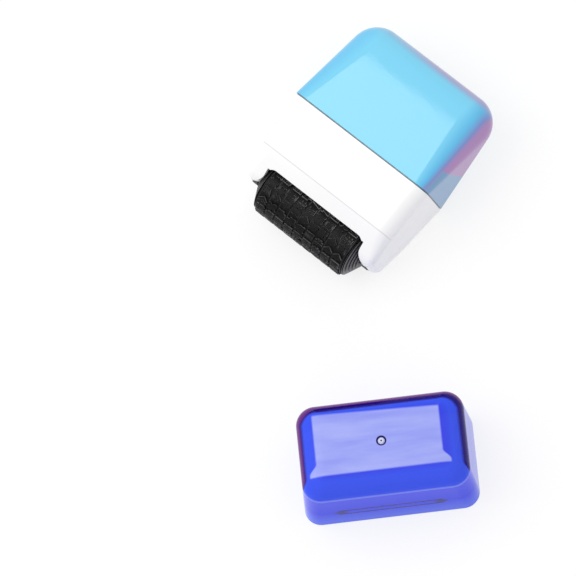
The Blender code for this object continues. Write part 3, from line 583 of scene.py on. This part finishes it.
def coverSections(size, inset, foot):
    centreHeight = size["height"] - size["topRadius"]
    centreDepth = size["halfDepth"] - size["topSetback"] - size["topRadius"]

    def lean(distance):
        reach = math.hypot(distance, centreHeight)
        return math.atan2(distance, centreHeight) - math.asin(size["topRadius"] / reach)

    frontLean = lean(centreDepth + size["halfDepth"])
    backLean = lean(size["halfDepth"] - centreDepth)

    def frontAt(height):
        return -size["halfDepth"] + height * math.tan(frontLean) + inset / math.cos(frontLean)

    def backAt(height):
        return size["halfDepth"] - height * math.tan(backLean) - inset / math.cos(backLean)

    sections = []
    for step in range(size["wallRows"]):
        height = foot + (centreHeight - foot) * step / size["wallRows"]
        corner = size["corner"] + (size["topRadius"] - size["corner"]) * height / centreHeight - inset
        sections.append((size["halfWidth"] - inset, frontAt(height), backAt(height),
                         max(corner, size["leastCorner"]), height))
    radius = size["topRadius"] - inset
    for degrees in range(0, size["topEnd"], size["topDegrees"]):
        angle = math.radians(degrees)
        height = centreHeight + radius * math.sin(angle)
        reach = radius * math.cos(angle)
        front = frontAt(height) if angle < frontLean else centreDepth - reach
        back = backAt(height) if angle < backLean else centreDepth + reach
        corner = min(reach, (back - front) / 2) - size["cornerRoom"]
        sections.append((size["halfWidth"] - inset - radius + reach, front, back, corner, height))
    return sections


def markFacing(piece, **measures):
    # Keeps on each point how far its skin faces one way
    mesh = piece.data
    normals = [vert.normal.copy() for vert in mesh.vertices]
    for name, measure in measures.items():
        layer = mesh.attributes.new(name, "FLOAT", "POINT")
        layer.data.foreach_set("value", [measure(normal) for normal in normals])


def makeCover():
    bm = bmesh.new()
    sections = coverSections(cover, 0, 0)
    hollow = coverSections(cover, cover["wall"], 0)
    loftLoops(bm, sections[::-1] + hollow, cover["segments"])
    shell = makeObject("coverShell", bm)
    ribs = []
    for side in (-1, 1):
        # An arch rib is a thin slice of a thicker skin inside the shell
        bm = bmesh.new()
        outer = coverSections(cover, cover["wall"] / 2, cover["ribFoot"])
        inner = coverSections(cover, cover["wall"] + cover["ribReach"], cover["ribFoot"])
        loftLoops(bm, outer[::-1] + inner, cover["ribSegments"])
        middle = side * cover["ribSpacing"] / 2
        for facing in (-1, 1):
            cut = middle + facing * cover["ribThickness"] / 2
            parts = bm.verts[:] + bm.edges[:] + bm.faces[:]
            bmesh.ops.bisect_plane(bm, geom=parts, plane_co=(cut, 0, 0), plane_no=(facing, 0, 0),
                                   clear_outer=True)
            bmesh.ops.holes_fill(bm, edges=[edge for edge in bm.edges if edge.is_boundary])
        ribs.append((makeObject("archRib", bm), "UNION"))
    useTools(shell, ribs)
    softenEdges(shell, cover["softEdge"], cover["softDegrees"])
    markFacing(shell, rightShare=lambda way: max(way.x, 0.0), leftShare=lambda way: max(-way.x, 0.0),
               topShare=lambda way: max(way.z, 0.0))
    settle(shell, "blue", layDown, "cover", "blue_plastic", "upper_cover")


makeCover()
print("cover shaped")

# lower housing
housing = {"halfWidth": 0.0281, "halfDepth": 0.0169, "corner": 0.005, "earCorner": 0.0022, "height": 0.0309,
           "crease": 0.0191, "sideDraft": 0.0009, "depthDraft": 0.0028, "chamfer": 0.0072, "earEdge": 0.0028,
           "wall": 0.0019, "spigotHeight": 0.004, "spigotWall": 0.0014, "gap": 0.0003, "openingDrop": 0.0242,
           "openingHalf": 0.0203, "openingCorner": 0.003, "flare": 0.0042, "rollerDrop": 0.0276,
           "bore": 0.0108, "coneRoot": 0.00745, "coneTip": 0.0049, "coneEnd": 0.0217,
           "footHalf": 0.0039, "footInner": 0.0203, "footOuter": 0.0246, "footTop": 0.0270,
           "footBottom": 0.0329, "creaseRound": 0.0007, "creaseEase": 0.00004, "grooveHeight": 0.00028,
           "grooveDepth": 0.0004, "earRows": 5, "cutHalf": 0.034, "cutDrop": 0.036, "cutDepth": 0.02,
           "cutRoom": 0.00002, "segments": 10, "boreSteps": 96, "softEdge": 0.00022, "softDegrees": 38}


def housingHalves(size, height, inset=0.0):
    fall = -height / size["crease"]
    halfWidth = size["halfWidth"] - size["sideDraft"] * fall - inset
    if height >= -size["crease"]:
        return halfWidth, size["halfDepth"] - size["depthDraft"] * fall - inset
    run = size["height"] - size["crease"]
    share = (-height - size["crease"]) / run
    slant = math.hypot(run, size["chamfer"]) / run
    return halfWidth, size["halfDepth"] - size["depthDraft"] - size["chamfer"] * share - inset * slant


def housingCorner(size, height):
    share = max(0.0, (-height - size["crease"]) / (size["height"] - size["crease"]))
    return size["corner"] + (size["earCorner"] - size["corner"]) * share


def housingSection(size, height, inset=0.0, corner=None):
    halfWidth, halfDepth = housingHalves(size, height, inset)
    return (halfWidth, -halfDepth, halfDepth, corner or housingCorner(size, height), height)


def makeHousing():
    size = housing
    sections = []
    for step in range(size["earRows"] + 1):
        angle = math.radians(90) * step / size["earRows"]
        height = -size["height"] + size["earEdge"] * (1 - math.cos(angle))
        sections.append(housingSection(size, height, size["earEdge"] * (1 - math.sin(angle))))
    crease, soft = -size["crease"], size["creaseRound"]
    ease, lip, depth = size["creaseEase"], -size["grooveHeight"], size["grooveDepth"]
    for height, inset in ((crease - soft, 0.0), (crease - soft / 3, ease), (crease + soft / 3, ease),
                          (crease + soft, 0.0), (lip, 0.0), (lip, depth), (0.0, depth)):
        sections.append(housingSection(size, height, inset))
    for height, extra in ((0, 0), (size["spigotHeight"], 0), (size["spigotHeight"], size["spigotWall"]),
                          (0, size["spigotWall"])):
        inset = cover["wall"] + size["gap"] + extra
        sections.append(coverSections(cover, inset, height)[0])
    inner = size["corner"] - size["wall"] / 2
    for height in (-size["wall"], crease, -size["height"] + size["wall"]):
        sections.append(housingSection(size, height, size["wall"], inner))
    bm = bmesh.new()
    loftLoops(bm, sections, size["segments"])
    shell = makeObject("housingShell", bm)

    # Front view of the roller opening: round top corners, and ears rounded at their inner tips
    half, low, tip = size["openingHalf"], size["openingDrop"], size["height"] + size["cutRoom"]
    wide, deep = size["cutHalf"], size["cutDrop"]
    outline = [(-half, -low), (half, -low), (half, -tip), (wide, -tip), (wide, -deep), (-wide, -deep),
               (-wide, -tip), (-half, -tip)]
    bm = bmesh.new()
    corners = [bm.verts.new((x, -size["cutDepth"], z)) for x, z in outline]
    bm.faces.new(corners)
    roundCorners(bm, corners[0:2], size["openingCorner"], size["segments"])
    near = shaping["near"]
    ears = [vert for vert in bm.verts if abs(abs(vert.co.x) - half) < near and abs(vert.co.z + tip) < near]
    roundCorners(bm, ears, size["flare"], size["segments"])
    pushed = bmesh.ops.extrude_face_region(bm, geom=bm.faces[:])
    moved = [item for item in pushed["geom"] if isinstance(item, bmesh.types.BMVert)]
    bmesh.ops.translate(bm, verts=moved, vec=(0, 2 * size["cutDepth"], 0))
    opening = makeObject("openingTool", bm)

    bm = bmesh.new()
    right = [(size["coneEnd"], 0), (size["coneEnd"], size["coneTip"]), (half, size["coneRoot"]),
             (half, size["bore"])]
    left = [(-along, radius) for along, radius in reversed(right)]
    spinProfile(bm, right + left, size["boreSteps"], closed=False)
    bmesh.ops.translate(bm, verts=bm.verts, vec=(0, 0, -size["rollerDrop"]))
    tools = [(opening, "DIFFERENCE"), (makeObject("boreTool", bm), "DIFFERENCE")]
    for side in (-1, 1):
        low, high = sorted((side * size["footInner"], side * size["footOuter"]))
        slot = boxTool("footTool", (low, -size["footHalf"], -size["footBottom"]),
                       (high, size["footHalf"], -size["footTop"]))
        tools.append((slot, "DIFFERENCE"))
    useTools(shell, tools)
    softenEdges(shell, size["softEdge"], size["softDegrees"])
    settle(shell, "white", layDown, "housing", "white_plastic", "lower_housing")


makeHousing()
print("housing shaped")

# rubber sleeve with rings of raised scrambled marks
sleeve = {"drop": 0.0276, "half": 0.0183, "radius": 0.0097, "bore": 0.0077, "relief": 0.0008, "edge": 0.0005,
          "rings": 9, "rows": 18, "stroke": 0.00112, "overrun": 0.8, "taper": (0.86, 0.50, 1), "sink": 0.0002,
          "cellShare": 0.85, "alongGap": 0.00034, "aroundGap": 0.00042, "ringSegments": 10, "steps": 96}


def addBar(bm, start, end, width):
    # One raised stroke in the flat cell, tapered a little towards its top
    start, end = Vector(start), Vector(end)
    length = (end - start).length + width * sleeve["overrun"]
    verts = bmesh.ops.create_cube(bm, size=1)["verts"]
    bmesh.ops.scale(bm, verts=verts, vec=(length, width, 1))
    top = [vert for vert in verts if vert.co.z > 0]
    bmesh.ops.scale(bm, verts=top, vec=sleeve["taper"])
    angle = math.atan2(end.y - start.y, end.x - start.x)
    bmesh.ops.rotate(bm, verts=verts, cent=(0, 0, 0), matrix=Matrix.Rotation(angle, 3, "Z"))
    middle = (start + end) / 2
    bmesh.ops.translate(bm, verts=verts, vec=(middle.x, middle.y, 0.5))


def addRing(bm, centre, radius, width):
    segments = sleeve["ringSegments"]
    outer = bmesh.ops.create_circle(bm, segments=segments, radius=radius + width / 2)["verts"]
    inner = bmesh.ops.create_circle(bm, segments=segments, radius=radius - width / 2)["verts"]
    rims = {edge for vert in outer + inner for edge in vert.link_edges}
    flat = bmesh.ops.bridge_loops(bm, edges=list(rims))["faces"]
    pushed = bmesh.ops.extrude_face_region(bm, geom=flat)
    top = [item for item in pushed["geom"] if isinstance(item, bmesh.types.BMVert)]
    bmesh.ops.translate(bm, verts=top, vec=(0, 0, 1))
    bmesh.ops.translate(bm, verts=outer + inner + top, vec=(centre[0], centre[1], 0))


# Each mark is bars (four numbers) and rings (three numbers) on a cell that runs from -1 to 1
markShapes = [
    [(-0.8, -0.8, 0.8, -0.8), (-0.8, 0.8, 0.8, 0.8), (-0.8, -0.8, -0.8, 0.8),
     (0.8, -0.8, 0.8, 0.8), (0.0, 0.0, 0.3)],
    [(0.0, 0.0, 0.62), (-0.8, -0.8, 0.8, 0.8), (-0.8, 0.8, 0.0, 0.0)],
    [(-0.8, 0.0, 0.0, 0.8), (0.0, 0.8, 0.8, 0.0), (0.8, 0.0, 0.0, -0.8), (0.0, -0.8, -0.8, 0.0),
     (0.0, 0.0, 0.25)],
    [(-0.75, -0.8, -0.75, 0.8), (-0.25, -0.8, -0.25, 0.8), (0.25, -0.8, 0.25, 0.8),
     (0.75, -0.8, 0.75, 0.8)],
    [(-0.45, 0.45, 0.34), (0.45, -0.45, 0.34), (-0.8, -0.8, -0.1, -0.1), (0.1, 0.1, 0.8, 0.8)],
    [(-0.8, -0.35, 0.8, -0.35), (-0.8, 0.35, 0.8, 0.35), (-0.35, -0.8, -0.35, 0.8),
     (0.35, -0.8, 0.35, 0.8)],
    [(-0.8, -0.8, 0.0, 0.0), (0.0, 0.0, -0.8, 0.8), (0.0, -0.8, 0.8, 0.0), (0.8, 0.0, 0.0, 0.8),
     (-0.8, -0.8, -0.8, 0.8)],
    [(-0.8, -0.8, 0.8, -0.8), (-0.8, -0.8, -0.8, 0.8), (0.8, -0.8, 0.8, 0.4), (0.0, 0.45, 0.34),
     (0.0, -0.5, 0.0, 0.1)],
    [(-0.8, 0.0, 0.8, 0.0), (-0.45, -0.5, 0.3), (0.45, -0.5, 0.3), (-0.8, 0.65, 0.8, 0.65),
     (0.0, 0.0, 0.0, 0.65)],
    [(-0.8, -0.8, -0.3, 0.8), (-0.3, -0.8, 0.2, 0.8), (0.2, -0.8, 0.7, 0.8), (-0.8, 0.8, 0.7, 0.8)],
    [(0.0, 0.0, 0.34), (-0.8, -0.8, -0.8, 0.2), (-0.8, -0.8, 0.2, -0.8), (0.8, 0.8, 0.8, -0.2),
     (0.8, 0.8, -0.2, 0.8)],
]


def makeSleeve():
    size = sleeve
    bm = bmesh.new()
    spinProfile(bm, [(-size["half"], size["radius"]), (size["half"], size["radius"]),
                     (size["half"], size["bore"]), (-size["half"], size["bore"])], size["steps"])
    bmesh.ops.remove_doubles(bm, verts=bm.verts, dist=shaping["near"])
    pitch = 2 * (size["half"] - size["edge"]) / size["rings"]
    turn = math.tau / size["rows"]
    sink, lift = size["radius"] - size["sink"], size["radius"] + size["relief"]
    arcHalf = turn * size["radius"] / 2
    width = size["stroke"] / (pitch / 2 * size["cellShare"])
    for ring in range(size["rings"]):
        middle = -size["half"] + size["edge"] + pitch * (ring + 0.5)
        for row in range(size["rows"]):
            before = set(bm.verts)
            for stroke in random.choice(markShapes):
                if len(stroke) == 4:
                    addBar(bm, stroke[0:2] + (0,), stroke[2:4] + (0,), width)
                else:
                    addRing(bm, stroke[0:2], stroke[2], width)
            quarter = random.choice((0, 90, 180, 270))
            flip = random.choice((-1, 1))
            turned = Matrix.Rotation(math.radians(quarter), 3, "Z")
            for vert in set(bm.verts) - before:
                flat = turned @ vert.co
                along = middle + flip * flat.x * (pitch / 2 - size["alongGap"])
                angle = (row + 0.5) * turn + flat.y * (arcHalf - size["aroundGap"]) / size["radius"]
                radius = sink + (lift - sink) * vert.co.z
                vert.co = (along, radius * math.sin(angle), radius * math.cos(angle))
    skin = makeObject("markedSleeve", bm)
    skin.data.transform(Matrix.Translation((0, 0, -size["drop"])))
    settle(skin, "rubber", layDown, "stamp_roller", "inked_rubber", "stamp_sleeve")


makeSleeve()
print("sleeve marked")

# ridged cones that close the stamp roller
endDisc = {"start": 0.0186, "end": 0.0214, "bore": 0.0015, "rim": 0.0097, "tip": 0.0046, "ridges": 5,
           "ridgeHeight": 0.0003, "ridgeParts": ((0.05, 0.0), (0.45, 0.0), (0.6, 1.0), (0.9, 1.0)),
           "recess": 0.0004, "recessEdge": 0.0018, "faceEdge": 0.0014, "rimRoom": 0.00005, "steps": 96}


def makeEndDiscs():
    size = endDisc
    for side, name, node in ((-1, "leftCone", "end_disc_left"), (1, "rightCone", "end_disc_right")):
        floor = size["end"] - size["recess"]
        profile = [(size["start"], size["bore"]), (floor, size["bore"]),
                   (floor, size["tip"] - size["recessEdge"]), (size["end"], size["tip"] - size["faceEdge"])]
        length, fall = size["end"] - size["start"], size["rim"] - size["tip"]
        for ridge in range(size["ridges"]):
            share = ridge / size["ridges"]
            step = 1 / size["ridges"]
            for part, depth in size["ridgeParts"]:
                place = share + step * part
                radius = size["tip"] + fall * place - size["ridgeHeight"] * depth
                profile.append((size["end"] - length * place, radius))
        profile.append((size["start"], size["rim"] - size["rimRoom"]))
        bm = bmesh.new()
        spinProfile(bm, [(side * along, radius) for along, radius in profile], size["steps"])
        cone = makeObject(name, bm)
        cone.data.transform(Matrix.Translation((0, 0, -sleeve["drop"])))
        settle(cone, "ridged", layDown, "stamp_roller", "black_plastic", node)


makeEndDiscs()
print("end cones turned")

# felt skin of the ink roller
felt = {"drop": 0.0098, "half": 0.0183, "radius": 0.00695, "bore": 0.0045, "fuzz": 0.00009, "fuzzScale": 1800,
        "skin": 0.0001, "steps": 96, "rows": 60}


def makeFelt():
    size = felt
    bm = bmesh.new()
    half, rows = size["half"], size["rows"]
    outside = [(-half + 2 * half * row / rows, size["radius"]) for row in range(rows + 1)]
    spinProfile(bm, outside + [(half, size["bore"]), (-half, size["bore"])], size["steps"])
    bmesh.ops.remove_doubles(bm, verts=bm.verts, dist=shaping["near"])
    for vert in bm.verts:
        reach = math.hypot(vert.co.y, vert.co.z)
        if reach > size["radius"] - size["skin"]:
            pull = size["fuzz"] * (0.5 + noise.noise(vert.co * size["fuzzScale"]) / 2)
            vert.co.y *= 1 - pull / reach
            vert.co.z *= 1 - pull / reach
    skin = makeObject("inkFeltSkin", bm)
    skin.data.transform(Matrix.Translation((0, 0, -size["drop"])))
    settle(skin, "felt", layDown, "ink_roller", "ink_felt", "ink_felt")


makeFelt()
print("felt laid")

# cap
cap = {"halfWidth": 0.028629, "halfDepth": 0.016634, "sideDraft": 0.0013, "depthDraft": 0.0006,
       "mouthCorner": 0.0055, "topCorner": 0.0062, "edge": 0.0085, "height": 0.0324, "wall": 0.0009,
       "topWall": 0.0013, "wallRows": 8, "edgeRows": 14, "ribFoot": 0.0209, "ribReach": 0.0034,
       "ribThickness": 0.001, "ribSpacing": 0.008, "beadLip": (0.97, 1, 0.5), "gateRoom": 0.001,
       "gateSteps": 48, "rimFrom": 0.45, "rimSoft": 0.35, "rimBack": 2.2,
       "beadHalf": 0.0175, "beadLow": 0.0094, "beadHigh": 0.0128, "beadInner": 0.0144,
       "gateRadius": 0.0016, "gateDepth": 0.0004, "segments": 12}


def capSections(size, inset, top):
    def section(height, share, shrink):
        halfWidth = size["halfWidth"] - size["sideDraft"] * share - inset - shrink
        halfDepth = size["halfDepth"] - size["depthDraft"] * share - inset - shrink
        corner = size["mouthCorner"] + (size["topCorner"] - size["mouthCorner"]) * share - inset - shrink / 2
        return (halfWidth, -halfDepth, halfDepth, max(corner, size["wall"]), height)
    edge = size["edge"] - inset
    rows, turns = size["wallRows"], size["edgeRows"]
    sections = [section((top - edge) * step / rows, step / rows, 0) for step in range(rows + 1)]
    for step in range(1, turns + 1):
        angle = math.radians(90) * step / turns
        sections.append(section(top - edge + edge * math.sin(angle), 1, edge * (1 - math.cos(angle))))
    return sections


def capEdgeShade(way):
    # The painted shade grows from the flat top outwards, sooner at the back, and stays away from the front
    notFront = min(max((way.y + cap["rimFrom"]) / cap["rimSoft"], 0.0), 1.0)
    return notFront * min((1.0 - way.z) * (1.0 + cap["rimBack"] * max(way.y, 0.0)), 1.0)


def makeCap():
    size = cap
    bm = bmesh.new()
    outer = capSections(size, 0, size["height"])
    inner = capSections(size, size["wall"], size["height"] - size["topWall"])
    loftLoops(bm, outer[::-1] + inner, size["segments"])
    shell = makeObject("clearCap", bm)
    tools = []
    wall = size["halfWidth"] - size["sideDraft"] - size["wall"] / 2
    for side in (-1, 1):
        for face in (-1, 1):
            middle = face * size["ribSpacing"] / 2
            low, high = sorted((side * (wall - size["ribReach"]), side * wall))
            rib = boxTool("capRibTool", (low, middle - size["ribThickness"] / 2, size["ribFoot"]),
                          (high, middle + size["ribThickness"] / 2, size["height"] - size["edge"]))
            tools.append((rib, "UNION"))
    for face in (-1, 1):
        low, high = sorted((face * size["beadInner"], face * (size["halfDepth"] - size["depthDraft"])))
        bead = boxTool("capBeadTool", (-size["beadHalf"], low, size["beadLow"]),
                       (size["beadHalf"], high, size["beadHigh"]))
        bm = bmesh.new()
        bm.from_mesh(bead.data)
        lip = [vert for vert in bm.verts if abs(abs(vert.co.y) - size["beadInner"]) < shaping["near"]]
        toMiddle = Matrix.Translation((0, 0, -(size["beadLow"] + size["beadHigh"]) / 2))
        bmesh.ops.scale(bm, verts=lip, vec=size["beadLip"], space=toMiddle)
        bm.to_mesh(bead.data)
        bm.free()
        tools.append((bead, "UNION"))
    bm = bmesh.new()
    above, below = size["height"] + size["gateRoom"], size["height"] - size["gateDepth"]
    radius = size["gateRadius"]
    spinProfile(bm, [(above, radius), (below, radius), (below, radius / 2), (above, radius / 2)],
                size["gateSteps"])
    groove = makeObject("gateTool", bm)
    groove.data.transform(Matrix.Rotation(math.radians(-90), 4, "Y"))
    tools.append((groove, "DIFFERENCE"))
    useTools(shell, tools)
    markFacing(shell, rimShare=capEdgeShade)
    settle(shell, "clear", standCap, "cap", "clear_blue_plastic", "cap")


makeCap()
print("cap shaped")

# finishes of the pieces that stay as they are
keptNodes = {
    "black": ["inner_frame", "ink_disc_left", "ink_disc_right"],
    "pale": ["axle_bush_left", "axle_bush_right", "stamp_core", "ink_core", "ink_block_left",
             "ink_block_right"],
    "steel": ["stamp_axle", "ink_axle", "ink_spring_left", "ink_spring_right"],
}
for finish, names in keptNodes.items():
    for name in names:
        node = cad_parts[name]
        node.data.materials.clear()
        node.data.materials.append(finishes[finish])
print("inner pieces finished")

# floor, light and camera
room = {"floorHalf": 6.0, "floorDrop": 0.00005, "floorShade": 0.93, "floorRoughness": 0.9, "floorGlow": 1.05,
        "glowShare": 0.72, "ambient": 0.78}


def cameraShare(tree):
    # One for what the camera sees, straight or by a mirror or through clear plastic
    path = addNode(tree, "ShaderNodeLightPath")
    return doMath(tree, "MAXIMUM", path.outputs["Is Camera Ray"],
                  doMath(tree, "MAXIMUM", path.outputs["Is Glossy Ray"], path.outputs["Is Transmission Ray"]))


def mixShaders(tree, share, first, second, target):
    mix = addNode(tree, "ShaderNodeMixShader")
    for source, socket in zip((share, first.outputs[0], second.outputs[0]), mix.inputs):
        tree.links.new(source, socket)
    tree.links.new(mix.outputs[0], tree.nodes[target].inputs["Surface"])


def makeFloor():
    bm = bmesh.new()
    bmesh.ops.create_grid(bm, x_segments=2, y_segments=2, size=room["floorHalf"])
    bmesh.ops.translate(bm, verts=bm.verts, vec=(0, 0, -room["floorDrop"]))
    floor = makeObject("paleFloor", bm)
    shade = room["floorShade"]
    material, tree, shader = newFinish("paleFloor", (shade, shade, shade, 1), room["floorRoughness"],
                                       specular=0.0)
    glow = addNode(tree, "ShaderNodeEmission", Strength=room["floorGlow"])
    share = product(tree, cameraShare(tree), room["glowShare"])
    mixShaders(tree, share, shader, glow, "Material Output")
    floor.data.materials.append(material)


def makeWorld():
    world = bpy.data.worlds.new("paleStudio")
    scene.world = world
    world.use_nodes = True
    tree = world.node_tree
    soft = tree.nodes["Background"]
    soft.inputs["Color"].default_value = (1, 1, 1, 1)
    soft.inputs["Strength"].default_value = room["ambient"]
    shown = addNode(tree, "ShaderNodeBackground", Color=(1, 1, 1, 1), Strength=1.0)
    mixShaders(tree, cameraShare(tree), soft, shown, "World Output")


# Brightness is what a mirror would show of the lamp, where 1 is white
softboxes = {
    "coverGlint": {"target": (-0.0035, -0.0120, 0.0125), "distance": 0.16, "width": 0.062, "height": 0.034,
                   "brightness": 3.4, "frontDegrees": 19.48},
    "keySoftbox": {"target": (0.02, -0.03, 0.01), "from": (-0.5, -0.35, 1.0), "distance": 0.9, "width": 0.7,
                   "height": 0.7, "brightness": 1.9},
}


def addSoftbox(name, target, away, facing, lights):
    box = softboxes[name]
    lamp = bpy.data.lights.new(name, "AREA")
    lamp.shape = "RECTANGLE"
    lamp.size = box["width"]
    lamp.size_y = box["height"]
    lamp.energy = box["brightness"] * math.pi * box["width"] * box["height"]
    holder = bpy.data.objects.new(name, lamp)
    scene.collection.objects.link(holder)
    holder.location = Vector(target) + away.normalized() * box["distance"]
    holder.rotation_mode = "QUATERNION"
    holder.rotation_quaternion = facing.normalized().to_track_quat("Z", "Y")
    holder.visible_camera = False
    holder.visible_diffuse = lights


camera = {"elevation": 72.37, "azimuth": 55.91, "roll": -16.72, "distance": 2.6053, "focal": 8000.0,
          "target": (0.00882, -0.044823, 0.015), "sensor": 36.0, "frameWidth": 576, "near": 0.1, "far": 60.0}


def makeCamera():
    e, a, r = (math.radians(camera[key]) for key in ("elevation", "azimuth", "roll"))
    ahead = Vector((-math.sin(a) * math.cos(e), math.cos(a) * math.cos(e), -math.sin(e)))
    level = Vector((math.cos(a), math.sin(a), 0))
    above = level.cross(ahead)
    right = level * math.cos(r) + above * math.sin(r)
    up = above * math.cos(r) - level * math.sin(r)
    lens = bpy.data.cameras.new("photoCamera")
    lens.sensor_width = camera["sensor"]
    lens.lens = camera["focal"] / camera["frameWidth"] * camera["sensor"]
    lens.clip_start, lens.clip_end = camera["near"], camera["far"]
    eye = bpy.data.objects.new("photoCamera", lens)
    scene.collection.objects.link(eye)
    eye.matrix_world = Matrix.Translation(Vector(camera["target"]) - ahead * camera["distance"]) @ Matrix(
        (right, up, -ahead)).transposed().to_4x4()
    scene.camera = eye
    return ahead


makeFloor()
makeWorld()
ahead = makeCamera()


def mirrorWay(normal):
    # The way a line of sight leaves after it meets a flat face
    normal = Vector(normal).normalized()
    return ahead - 2 * ahead.dot(normal) * normal


def lightStage():
    # The glint stands where the cover's leaning front would mirror it into the camera
    glint, key = softboxes["coverGlint"], softboxes["keySoftbox"]
    lean = math.radians(glint["frontDegrees"])
    front = layTurn.to_3x3() @ Vector((0, -math.cos(lean), math.sin(lean)))
    addSoftbox("coverGlint", layDown @ Vector(glint["target"]), mirrorWay(front), front, False)
    away = Vector(key["from"])
    addSoftbox("keySoftbox", key["target"], away, away, True)


lightStage()
print("studio lit")

scene.view_settings.view_transform = "Standard"
